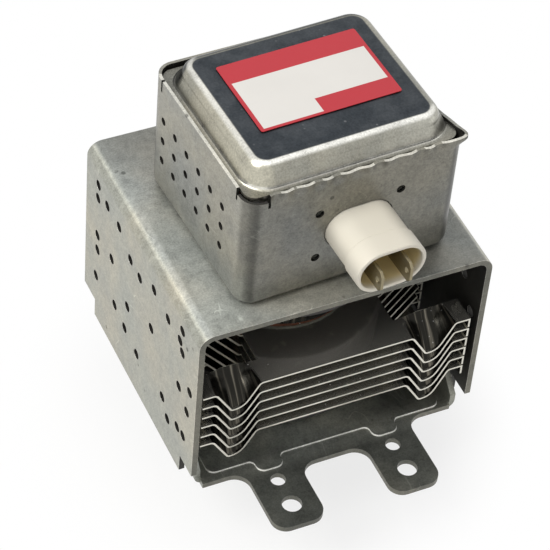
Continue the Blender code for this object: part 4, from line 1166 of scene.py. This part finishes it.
# %% The box's outline
def box_corners(half_x, half_y, radius, z, ear):
    """The four round corners, with points along the right wall to lean by."""
    points = []
    for index, (side_x, side_y) in enumerate(((1, -1), (1, 1), (-1, 1), (-1, -1))):
        for step in range(CORNER_STEPS + 1):
            angle = math.pi / 2 * (index - 1 + step / CORNER_STEPS)
            pulled = ear * math.sin(math.pi * step / CORNER_STEPS) ** 2 if index == 0 else 0.0
            points.append((
                side_x * (half_x - radius) + radius * math.cos(angle) + pulled,
                side_y * (half_y - radius) + radius * math.sin(angle) - pulled * EAR_SKEW, z,
            ))
        if index == 0:
            straight = half_y - radius
            points += [
                (half_x, straight * (k / SIDE_STEPS - 1), z) for k in range(1, 2 * SIDE_STEPS)
            ]
    return points


def box_loop(half_x, half_y, radius, z, wave=0.0, waves=WAVES * WAVE_STEPS, ear=0.0):
    """A rounded rectangle, with extra points along the front for the crimped rim."""
    points = box_corners(half_x, half_y, radius, z, ear)
    for k in range(1, waves):
        along = k / waves
        x = -(half_x - radius) * (1 - 2 * along)
        swing = 0.5 - 0.5 * math.cos(2 * math.pi * along * WAVES)
        uneven = WAVE_EVEN + (1 - WAVE_EVEN) * math.sin(along * WAVE_TURNS)
        dent = wave * swing * uneven
        points.append((x, -half_y + dent, z - dent * WAVE_DIP))
    return points


print("points round the box:", len(box_loop(BOX_HALF_X, BOX_HALF_Y, BOX_CORNER, 0)))


# %% Walls that lean in
def eased(value, start, length):
    """How far a value has come from a start, from 0 to 1, with soft ends."""
    part = min(max((value - start) / length, 0.0), 1.0)
    return part * part * (3 - 2 * part)


def lean(x, y, z):
    """How far the right and the back wall lean in towards their rim."""
    high = min(max(1 - (BOX_RIM - z) / LEAN_DEPTH, 0.0), 1.0)
    right = RIGHT_LEAN * high * eased(y + BOX_HALF_Y, LEAN_START, LEAN_LENGTH)
    back = BACK_LEAN * high * eased(x + BOX_HALF_X, LEAN_START, 2 * BOX_HALF_X)
    return right, back


def leaning(points):
    """Points of a loop, moved in with the wall that they lie on."""
    moved = []
    for x, y, z in points:
        right, back = lean(x, y, z)
        beside = min(max(x / (BOX_HALF_X - BOX_CORNER), 0.0), 1.0)
        behind = min(max(y / (BOX_HALF_Y - BOX_CORNER), 0.0), 1.0)
        moved.append((x - right * beside, y - back * behind, z))
    return moved


def quarter_round(radius, steps=6):
    """Insets and rises along a quarter round."""
    for k in range(steps + 1):
        angle = math.pi / 2 * k / steps
        yield radius * (1 - math.sin(angle)), radius * (1 - math.cos(angle))


print("at half depth the right rim leans in by", round(lean(BOX_HALF_X, 0, BOX_RIM)[0], 4))

# %% The sizes of the rim and the holes
STAKES = ((-0.0099, 0.06815), (-0.0099, 0.08285), (0.0123, 0.06815), (0.0123, 0.08285))
STAKE_RADIUS = 0.0012
VENT_RADIUS = 0.00110
VENT_FIRST = (-0.0138, 0.0115)
VENT_PITCH = 0.0065
SLIT = 0.0007
SLIT_DEPTH = 0.0035
CORNER_DROP = 0.0016
CORNER_LENGTH = 0.0058
PLUG = (0.0014, 0.0755)
PLUG_SLOT = (0.00945, 0.00635)
STEM_HOLE = 0.0140
VENT_COUNT = (6, 3)
RIM_BAND = 0.0009
OUTER_RIM = (
    (LEAN_DEPTH, 0.0), (0.0060, 0.0), (0.0030, 0.0), (0.0024, 0.15), (0.0017, 0.6),
    (0.0010, 1.0), (0.0, 1.0),
)
INNER_RIM = ((0.0, 1.0), (0.0010, 1.0), (0.0030, 0.0), (0.0060, 0.0), (LEAN_DEPTH, 0.0))
print("vents in each side wall:", VENT_COUNT[0] * VENT_COUNT[1])


# %% Draw the box
def foot_loops(half_x, half_y, corner, radius, z):
    """Loops up the round foot of one skin."""
    return [
        box_loop(half_x - inset, half_y - inset, corner - inset, z + rise)
        for inset, rise in quarter_round(radius)
    ]


def rim_loops(half_x, half_y, corner, levels):
    """Loops of one skin from pairs of drop below the rim and share of the wave."""
    return [
        leaning(box_loop(
            half_x, half_y, corner, BOX_RIM - drop, WAVE_DEPTH * wave, ear=RIM_EAR * wave,
        ))
        for drop, wave in levels
    ]


inner_x = BOX_HALF_X - BOX_SHEET
inner_y = BOX_HALF_Y - BOX_SHEET
inner_corner = BOX_CORNER - BOX_SHEET
loops = foot_loops(BOX_HALF_X, BOX_HALF_Y, BOX_CORNER, BOX_FOOT, BOX_Z)
loops += rim_loops(BOX_HALF_X, BOX_HALF_Y, BOX_CORNER, OUTER_RIM)
loops += rim_loops(inner_x, inner_y, inner_corner, INNER_RIM)
loops += foot_loops(inner_x, inner_y, inner_corner, BOX_FOOT - BOX_SHEET, BOX_Z + BOX_SHEET)[::-1]
box = shape("filter_box_shell", loft(bmesh.new(), loops))
print("loops of the box:", len(loops))


# %% Cut the plug's slot, the stem's hole and the vents
def stadium(half_width, half_height, steps=14):
    """Outline with round ends, centred on the plug."""
    points = []
    for side in (1, -1):
        for k in range(steps + 1):
            angle = math.pi * (k / steps - 0.5)
            points.append((
                PLUG[0] + side * (half_width - half_height + half_height * math.cos(angle)),
                PLUG[1] + side * half_height * math.sin(angle),
            ))
    return points


carve(box, bars(STAKES, STAKE_RADIUS, -BOX_HALF_Y - SPARE, -inner_y + SPARE, along_y))
carve(box, prism(
    bmesh.new(), stadium(*PLUG_SLOT), -BOX_HALF_Y - SPARE, -inner_y + SPARE, along_y,
))
stem = BOX_PLACE.inverted() @ Vector((0, 0, 0))
carve(box, bars(
    [(stem.x, stem.y)], STEM_HOLE, BOX_Z - SPARE, BOX_Z + BOX_SHEET + SPARE, along_z, 64,
))
vents = [
    (VENT_FIRST[0] + VENT_PITCH * i, BOX_Z + VENT_FIRST[1] + VENT_PITCH * j)
    for i in range(VENT_COUNT[0]) for j in range(VENT_COUNT[1])
]
carve(box, bars(vents, VENT_RADIUS, -BOX_HALF_X - SPARE, BOX_HALF_X + SPARE, along_x, 20))
print("box cut, faces:", len(box.data.polygons))

# %% Lower and slit the rim's corners
near_x = BOX_HALF_X - CORNER_LENGTH
near_y = BOX_HALF_Y - CORNER_LENGTH
inside_x = near_x + CORNER_LENGTH / 2
inside_y = near_y + CORNER_LENGTH / 2
far_x = BOX_HALF_X + SPARE
far_y = BOX_HALF_Y + SPARE
wide = SLIT / 2
elbow = [
    (near_x, inside_y), (inside_x, inside_y), (inside_x, near_y),
    (far_x, near_y), (far_x, far_y), (near_x, far_y),
]
front_slit = (rectangle(near_x - wide, inside_y, near_x + wide, far_y), SLIT_DEPTH)
side_slit = (rectangle(inside_x, near_y - wide, far_x, near_y + wide), SLIT_DEPTH)
for side_x, side_y, cuts in (
    (-1, -1, ((elbow, CORNER_DROP), front_slit, side_slit)),
    (-1, 1, (side_slit,)), (1, 1, (side_slit,)),
):
    for outline, drop in cuts:
        placed = [(side_x * x, side_y * y) for x, y in outline]
        carve(box, prism(bmesh.new(), placed, BOX_RIM - drop, BOX_RIM + SPARE))
print("rim slit, faces:", len(box.data.polygons))


# %% Tell the box's faces apart
def looks_out(face):
    """Whether a face of a side wall belongs to the box's outer skin."""
    place, way = face.center, face.normal
    beside = abs(place.x) > BOX_HALF_X - BOX_CORNER and way.x * place.x > 0 and abs(way.x) > 0.5
    before = abs(place.y) > BOX_HALF_Y - BOX_CORNER and way.y * place.y > 0 and abs(way.y) > 0.5
    return beside or before


for finish in (box_steel, painted_highlight_steel, painted_shade_steel):
    box.data.materials.append(finish.material)
for face in box.data.polygons:
    place = face.center
    # Rim tops at the front and left get a painted highlight; inner walls and vent walls get the
    # steel painted dark as shade.
    highlight_side = place.y < -inner_y or place.x < -inner_x
    if place.z > BOX_RIM - RIM_BAND and face.normal.z > 0.5:
        face.material_index = 1 if highlight_side else 0
    elif place.z > BOX_Z + BOX_FOOT and not looks_out(face):
        face.material_index = 2
dress(
    box, box_steel, "tin_steel", "filter_box", edge=0.00018, angle=30, edge_highlight=painted_highlight_steel,
    at=BOX_PLACE,
)

# %% [markdown]
# ## The lid
#
# The lid is pressed with steep soft sides and a flat top. Its flange lies inside the
# box's rim, and where the box's walls lean in, the lid's foot gives way to them. The
# flat is satin with light flecks and painted dark as a reflection. The slopes are plain
# tin with painted light at the left and the right front and painted shade at the back.
# The front and left shoulders and foot carry painted highlights, and the foot just above
# the flange is painted in shade. So the finish takes its tone from the way that the
# sheet faces and from its height.

# %% The lid's sizes
lid_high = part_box("box_lid")[1]
LID_SHEET = 0.0008
FLANGE_DROP = 0.0008
FLANGE_Z = BOX_RIM - FLANGE_DROP
FLANGE_GAP = 0.0003
TOUCH = 0.0001
FLANGE_X = BOX_HALF_X - BOX_SHEET - FLANGE_GAP
FLANGE_Y = BOX_HALF_Y - BOX_SHEET - FLANGE_GAP - WAVE_DEPTH
FLANGE_CORNER = 0.0030
FLANGE_WIDTH = 0.0003
LID_CORNER = 0.0070
LID_DRAFT = 0.0015
TOP_ROUND = 0.0028
FOOT_ROUND = 0.0008
FLAT_INSETS = (0.004, 0.010)
LEAST_CORNER = 0.001
FOOT_HIGHLIGHT = (0.0006, 0.0005, 0.0001)
CREASE_SHADE = (0.0003, 0.0001)
print("the lid rises", round(lid_high.z - FLANGE_Z, 4), "above its flange")

# %% Where the lid is flat, faces forwards or gets painted highlights and shade
tin = Finish("lid_tin_steel", Metallic=0.9)
upward = tin.facing("Z")
depth = tin.axis("Z")
high_up = tin.fade(depth, lid_high.z - TOP_ROUND * 1.3, lid_high.z - TOP_ROUND * 0.7)
flat_part = tin.fade(upward, 0.984, 0.9995) * high_up
forward = tin.fade(tin.facing("Y"), 0.02, -0.22)
backward = tin.fade(tin.facing("Y"), 0.05, 0.30)
leftward = tin.fade(tin.facing("X"), 0.02, -0.22)
# Painted highlight on the front and left shoulders.
shoulder_highlight = tin.fade(upward, 0.70, 0.95) * high_up * (forward | leftward * 0.70)
line_height, line_edge, line_core = FOOT_HIGHLIGHT
# Painted highlight along the foot at the front and left.
foot_highlight = tin.fade(abs(depth - (FLANGE_Z + line_height)), line_edge, line_core)
foot_highlight = foot_highlight * (forward | leftward)
# Painted shade just above the flange.
crease_shade = tin.fade(depth, FLANGE_Z + CREASE_SHADE[0], FLANGE_Z + CREASE_SHADE[1])
print("masks for the lid ready")

# %% Tinned lid finish
cloud = tin.noise(45, 3.0)
blotch = tin.noise(190, 4.0, 0.6)
grain = tin.noise(2100, 2.0)
flecks = tin.fade(tin.cells(330), 0.14, 0.08)
flecks = flecks * tin.fade(tin.noise(80), 0.5, 0.62)
plain = tin.mix(tin.fade(cloud, 0.35, 0.65), tone(148, 148, 140), tone(160, 156, 142))
# Painted light on the left slope near the front.
near_left_light = tin.fade(tin.axis("Y"), 0.012, -0.020, 0.15, 0.65)
plain = tin.mix(leftward * near_left_light, plain, tone(196, 192, 174))
# Painted light on the front slope towards the right.
right_front_light = tin.fade(tin.axis("X"), 0.0, 0.026, 0.0, 0.80)
plain = tin.mix(forward * right_front_light, plain, tone(176, 175, 165))
# Painted shade on the back slope.
painted_slope_tone = tin.mix(backward, plain, tone(66, 68, 66))
# Painted highlights over the slopes.
highlight_tone = tin.mix(shoulder_highlight | foot_highlight * 0.6, painted_slope_tone, tone(238, 237, 230))
# The flat painted dark as a reflection.
flat_tone = tin.mix(tin.fade(blotch, 0.35, 0.65), tone(58, 63, 68), tone(68, 72, 76))
light = 1 + (cloud - 0.5) * 0.45 + (blotch - 0.5) * 0.60 + (grain - 0.5) * 0.80 - crease_shade * 0.35
lid_tone = tin.mix(flat_part, highlight_tone, flat_tone) * light
tin.wear(
    Base_Color=lid_tone + flecks * flat_part * 0.10,
    Roughness=0.30 + (blotch - 0.5) * 0.20 + flat_part * 0.08,
)
tin.bump(cloud * 0.6 + blotch * 0.10 + grain * 0.012, 0.0009, 0.5)
print("lid finish:", tin.material.name)

# %% The skins of the lid
def under_rim(points):
    """Keep the lid's foot and flange inside the wall that leans in."""
    inside = []
    for x, y, z in points:
        right, back = lean(x, y, z)
        if z < BOX_RIM:
            x = min(x, BOX_HALF_X - BOX_SHEET - TOUCH - right)
            y = min(y, BOX_HALF_Y - BOX_SHEET - TOUCH - back)
        inside.append((x, y, z))
    return inside


def lid_skin(offset, top, foot):
    """Loops from the lid's foot up to its flat, shifted inwards by the sheet."""
    base_x = FLANGE_X - FLANGE_WIDTH - FOOT_ROUND - offset
    base_y = FLANGE_Y - FLANGE_WIDTH - FOOT_ROUND - offset
    corner = LID_CORNER - offset
    rows = [(spread, foot + rise) for spread, rise in quarter_round(FOOT_ROUND + offset, 4)]
    radius = TOP_ROUND - offset
    for k in range(9):
        angle = math.pi / 2 * k / 8
        inset = LID_DRAFT + radius * (1 - math.cos(angle))
        rows.append((-inset, top - radius + radius * math.sin(angle)))
    rows += [(-(LID_DRAFT + radius) - inset, top) for inset in FLAT_INSETS]
    return [
        under_rim(box_loop(
            base_x + spread, base_y + spread, max(corner + spread, LEAST_CORNER), height,
            waves=2,
        ))
        for spread, height in rows
    ]


print("loops of one skin:", len(lid_skin(0.0, lid_high.z, FLANGE_Z)))

# %% Press the lid
outer = lid_skin(0.0, lid_high.z, FLANGE_Z)
inner = lid_skin(LID_SHEET, lid_high.z - LID_SHEET, FLANGE_Z - LID_SHEET)
flange = [
    under_rim(box_loop(FLANGE_X, FLANGE_Y, FLANGE_CORNER, height, waves=2))
    for height in (FLANGE_Z, FLANGE_Z - LID_SHEET)
]
lid = shape("pressed_lid", loft(bmesh.new(), outer[::-1] + flange + inner))
dress(lid, tin, "tin_steel", "box_lid", angle=50, at=BOX_PLACE)

# %% [markdown]
# ## The label
#
# A thin printed sheet is stuck on the lid. Its text belongs to a maker and stays off, so
# only plain fields of colour are printed on white: a red band along the top, narrow red
# edges at both ends and the foot, and a red strip at the lower right. The fields are
# thresholds on the label's own coordinates, with slightly soft edges.

# %% Print the label
LABEL_X = 0.0005
LABEL_Y = 0.00195
LABEL_HALF_X = 0.0191
LABEL_HALF_Y = 0.01245
LABEL_ROUND = 0.0006
SOFT = 0.00006
BAND_LINE = 0.0056
STRIP_LINE = -0.0068
STRIP_LEFT = -0.0020
END_EDGE = 0.0010
FOOT_EDGE = 0.0008
paper = Finish("printed_label", Metallic=0.0, Coat_Weight=0.25, Coat_Roughness=0.2)
across = paper.axis("X") - LABEL_X
up_label = paper.axis("Y") - LABEL_Y


def printed_above(value, line):
    return paper.fade(value, line - SOFT, line + SOFT)


def printed_below(value, line):
    return paper.fade(value, line + SOFT, line - SOFT)


band = printed_above(up_label, BAND_LINE)
border = printed_above(abs(across), LABEL_HALF_X - END_EDGE)
strip = printed_below(up_label, STRIP_LINE) * printed_above(across, STRIP_LEFT)
red = band | border | strip | printed_below(up_label, -LABEL_HALF_Y + FOOT_EDGE)
yellowed = paper.noise(90, 3.0)
paper.wear(
    Base_Color=paper.mix(red, tone(226, 223, 218), tone(186, 32, 46)) * (0.96 + yellowed * 0.08),
    Roughness=0.34 + paper.noise(220) * 0.12,
)
paper.bump(paper.noise(160, 2.0), 0.00008, 0.4)
print("label finish:", paper.material.name)

# %% Stick the label on the lid
low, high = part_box("label")
corners = [
    (LABEL_X + x * LABEL_HALF_X, LABEL_Y + y * LABEL_HALF_Y, LABEL_ROUND)
    for x, y in ((-1, -1), (1, -1), (1, 1), (-1, 1))
]
label = shape("lid_label", prism(bmesh.new(), rounded_outline(corners), low.z, high.z))
dress(label, paper, "paper_label", "label", at=BOX_PLACE)

# %% [markdown]
# ## The connector
#
# The cream shell is one moulded tube with round ends and a small step, closed at the
# wall. Two flat tabs stand inside it. A moulded plastic is best as a loft of outlines
# from the wall to the mouth and back inside, with small rounds at the mouth. Its lower
# left flank is painted darker as shade, and deep inside it the cream is painted yellower
# as light bounced round the hollow. The tabs are punched strip, slightly tarnished, with
# an eye near the tip.

# %% Cream plastic
PLUG_HALF_X = 0.0095
PLUG_HALF_Z = 0.0064
END_CENTRE = 0.0031
HOLLOW_RADIUS = (0.0058, 0.0055)
DEEP_FROM, DEEP_TO = -0.0428, -0.0405
cream = Finish("cream_plastic", Metallic=0.0, IOR=1.48)
tint = cream.noise(70, 3.0)
sideways = (abs(cream.axis("X") - PLUG[0]) - END_CENTRE) | 0
upwards = cream.axis("Z") - PLUG[1]
hollow = cream.fade(
    sideways * sideways + upwards * upwards, *(radius ** 2 for radius in HOLLOW_RADIUS),
)
# Deep in the hollow, a yellower cream painted as light bounced inside.
deep = hollow * cream.fade(cream.axis("Y"), DEEP_FROM, DEEP_TO)
# Painted shade on the lower left flank.
under = cream.fade(cream.facing("X"), -0.15, -0.75) * cream.fade(cream.facing("Z"), 0.70, 0.05)
shell_tone = cream.mix(tint, tone(220, 213, 197), tone(228, 223, 209)) * (1 - under * 0.28)
cream.wear(
    Base_Color=cream.mix(deep, shell_tone, tone(230, 212, 162)),
    Roughness=0.36 + cream.noise(400) * 0.12,
)
cream.bump(cream.noise(900, 3.0) * 0.3 + tint, 0.00006, 0.5)
print("shell finish:", cream.material.name)

# %% Mould the shell
STEP_SIZE = 0.00035
WALL = 0.0011
SHELL_REACH = 0.0168
SHELL_BEHIND = 0.0013
COLLAR_LENGTH = 0.0062
MOUTH_ROUND = 0.0004
MOUTH_EDGE = 0.0002
CAVITY_FLOOR = 0.0024
wall_y = -BOX_HALF_Y
mouth = wall_y - SHELL_REACH
shell_back = wall_y + BOX_SHEET + SHELL_BEHIND
sections = [
    (shell_back, STEP_SIZE), (mouth + COLLAR_LENGTH + STEP_SIZE, STEP_SIZE),
    (mouth + COLLAR_LENGTH, 0.0),
]
sections += [(mouth + rise, inset) for inset, rise in quarter_round(MOUTH_ROUND, 4)][::-1]
sections += [
    (mouth, WALL - MOUTH_EDGE), (mouth + MOUTH_EDGE, WALL),
    (wall_y - CAVITY_FLOOR, WALL + STEP_SIZE),
]
loops = [
    [along_y(u, v, y) for u, v in stadium(PLUG_HALF_X - inset, PLUG_HALF_Z - inset)]
    for y, inset in sections
]
shell = shape("connector_housing", loft(bmesh.new(), loops))
print("outlines of the shell:", len(loops))

# %% Leave a slot for each tab
TAB_MIDDLE = PLUG[0] - 0.00065
TAB_SPACE = 0.00395
TAB_X = (TAB_MIDDLE - TAB_SPACE, TAB_MIDDLE + TAB_SPACE)
TAB_HALF = 0.003175
TAB_SHEET = 0.0008
TAB_ROOM = 0.0003
slots = bmesh.new()
for x in TAB_X:
    reach = TAB_SHEET / 2 + TAB_ROOM
    rise = TAB_HALF + TAB_ROOM
    prism(
        slots, rectangle(x - reach, PLUG[1] - rise, x + reach, PLUG[1] + rise),
        wall_y - CAVITY_FLOOR - SPARE, shell_back + SPARE, along_y,
    )
carve(shell, slots)
dress(shell, cream, "cream_plastic", "connector_shell", angle=40, at=BOX_PLACE)

# %% Punch the tabs
tarnished = two_tone(
    "tarnished_tab", (240, 3.0), (128, 117, 88), (156, 148, 124), (0.30, 0.2, 240, 3.0),
    (((200, 200, 1500),), 0.00004, 0.5), Metallic=0.9,
)
TAB_REACH = 0.0036
TAB_BEHIND = 0.0153
TAB_CHAMFER = 0.0012
EYE_BEHIND = 0.0017
EYE_RADIUS = 0.00085
tab_tip = mouth - TAB_REACH
tab_tail = shell_back + TAB_BEHIND
for number, x in enumerate(TAB_X, 1):
    outline = [
        (tab_tip, PLUG[1] - TAB_HALF + TAB_CHAMFER), (tab_tip + TAB_CHAMFER, PLUG[1] - TAB_HALF),
        (tab_tail, PLUG[1] - TAB_HALF), (tab_tail, PLUG[1] + TAB_HALF),
        (tab_tip + TAB_CHAMFER, PLUG[1] + TAB_HALF), (tab_tip, PLUG[1] + TAB_HALF - TAB_CHAMFER),
    ]
    tab = shape("tab_" + str(number), prism(
        bmesh.new(), outline, x - TAB_SHEET / 2, x + TAB_SHEET / 2, along_x,
    ))
    eye = (tab_tip + EYE_BEHIND, PLUG[1])
    carve(tab, bars([eye], EYE_RADIUS, x - SPARE, x + SPARE, along_x))
    dress(tab, tarnished, "nickel", "terminal_blade_" + str(number), edge=0.00015, at=BOX_PLACE)

# %% [markdown]
# ## Pieces the model already has
#
# The anode, the cathode, the pole pieces, the chokes and the capacitor lie inside. Their
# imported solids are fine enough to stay, so each only gets the finish of its real
# material: bare copper with darker heat tint, dull molybdenum, potting resin, enamelled
# wire.

# %% Finishes for the pieces that stay
copper = two_tone(
    "bare_copper", (80, 3.0), (168, 96, 70), (206, 140, 112), (0.26, 0.16, 500),
    (((60, 60, 1400),), 0.00004, 0.5), Metallic=1.0,
)
molybdenum = two_tone(
    "drawn_molybdenum", (300,), (104, 104, 108), (138, 138, 142), (0.36, 0.14, 900),
    Metallic=1.0,
)
resin = two_tone(
    "potting_resin", (150, 3.0), (160, 130, 84), (186, 156, 108), (0.42, 0.14, 500),
    ((700, 3.0), 0.00008, 0.5), Metallic=0.0,
)
enamel = two_tone(
    "enamelled_wire", (200, 2.0), (128, 58, 32), (160, 82, 46), (0.28, 0.12, 600),
    Metallic=0.6, Coat_Weight=0.6, Coat_Roughness=0.15,
)

STAYING = {
    copper: ["anode_block", "antenna_lead"] + ["strap_ring_" + str(k) for k in (1, 2, 3, 4)],
    molybdenum: ["filament", "end_hat_lower", "end_hat_upper", "centre_lead", "side_lead"],
    nickel: ["seal_lower", "cathode_terminal_1", "cathode_terminal_2"],
    alumina: ["cathode_ceramic"],
    ferrite: ["ferrite_core_1", "ferrite_core_2"],
    resin: ["capacitor_body"],
    enamel: ["choke_coil_1", "choke_coil_2"],
    plate_steel: ["pole_piece_upper", "pole_piece_lower", "capacitor_plate"],
}
for finish, nodes in STAYING.items():
    for node in nodes:
        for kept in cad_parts[node].material_slots:
            kept.material = finish.material
    print(finish.material.name, "on", ", ".join(nodes))

# %% [markdown]
# ## Floor, world and lamps
#
# The photograph has a white ground and soft light from the upper left. The world shows
# white to the camera and in reflections, and is dimmer for the light that it sheds. One
# broad lamp high on the left shapes the object, a weak one above softens it and another
# fills the right side. The floor lies at the antenna's tip. It keeps a faint shadow near
# the object and turns plain white further out.

# %% White world
SKY_LIGHT = 0.38
world = bpy.data.worlds.new("studio")
bpy.context.scene.world = world
world.use_nodes = True


def seen_directly(graph):
    """A mask of 1 for what the camera, a reflection or clear glass shows."""
    seen = graph.add("ShaderNodeLightPath", out="Is Camera Ray")
    rays = seen.link.node.outputs
    for name in ("Is Glossy Ray", "Is Transmission Ray"):
        seen = seen | Signal(graph, rays[name])
    return seen


air = Graph(world.node_tree)
strength = air.add(
    "ShaderNodeMapRange", None, {"Value": seen_directly(air), "To Min": SKY_LIGHT},
)
sky = air.tree.nodes["Background"]
air.tree.links.new(strength.link, sky.inputs["Strength"])
sky.inputs["Color"].default_value = (1, 1, 1, 1)
bpy.context.scene.view_settings.view_transform = "Standard"
print("world strength for light:", SKY_LIGHT)

# %% Pale floor
FLOOR_HALF = 3.0
FLOOR_DEPTH = 0.01
SHADOW_REACH = (0.050, 0.078)
SHADOW_WHITE = 0.75
floor_z = CAD_BOX[0].z
floor_finish = Finish("pale_floor", Roughness=0.9, Specular_IOR_Level=0.0)
speckle = floor_finish.noise(30)
floor_finish.wear(Base_Color=floor_finish.mix(
    speckle, (0.95, 0.95, 0.95, 1), (0.96, 0.96, 0.96, 1),
))
away = floor_finish.add(
    "ShaderNodeVectorMath", {"operation": "LENGTH"}, {0: floor_finish.place}, out="Value",
)
spread = floor_finish.fade(away, *SHADOW_REACH, SHADOW_WHITE, 1.0)
white = floor_finish.add("ShaderNodeEmission", None, {"Color": (1, 1, 1, 1), "Strength": 1.0})
ground = floor_finish.add(
    "ShaderNodeMixShader", None,
    {
        0: seen_directly(floor_finish) * spread,
        1: Signal(floor_finish, floor_finish.shader.outputs[0]), 2: white,
    },
)
floor_finish.tree.links.new(ground.link, floor_finish.tree.nodes["Material Output"].inputs[0])
floor_outline = rectangle(-FLOOR_HALF, -FLOOR_HALF, FLOOR_HALF, FLOOR_HALF)
floor = shape("pale_floor", prism(
    bmesh.new(), floor_outline, floor_z - FLOOR_DEPTH, floor_z,
))
floor.data.materials.append(floor_finish.material)
print("floor at", round(floor_z, 4))


# %% Soft lamps
AIM = Vector((0, 0, 0.04))


def soft_lamp(name, place, size, power, warmth=(1, 1, 1)):
    """A round area lamp that points at the object."""
    data = bpy.data.lights.new(name, "AREA")
    data.shape = "DISK"
    data.size = size
    data.energy = power
    data.color = warmth
    lamp = bpy.data.objects.new(name, data)
    lamp.location = place
    lamp.rotation_mode = "QUATERNION"
    lamp.rotation_quaternion = (AIM - lamp.location).to_track_quat("-Z", "Y")
    bpy.context.scene.collection.objects.link(lamp)


soft_lamp("left_softbox", (-0.85, -0.10, 1.05), 0.8, 13.0, (1, 0.99, 0.965))
soft_lamp("top_softbox", (-0.1, -0.2, 1.3), 0.9, 2.0)
soft_lamp("right_fill", (1.2, -0.7, 0.4), 0.8, 0.8)
print("lamps:", [light.name for light in bpy.data.lights])
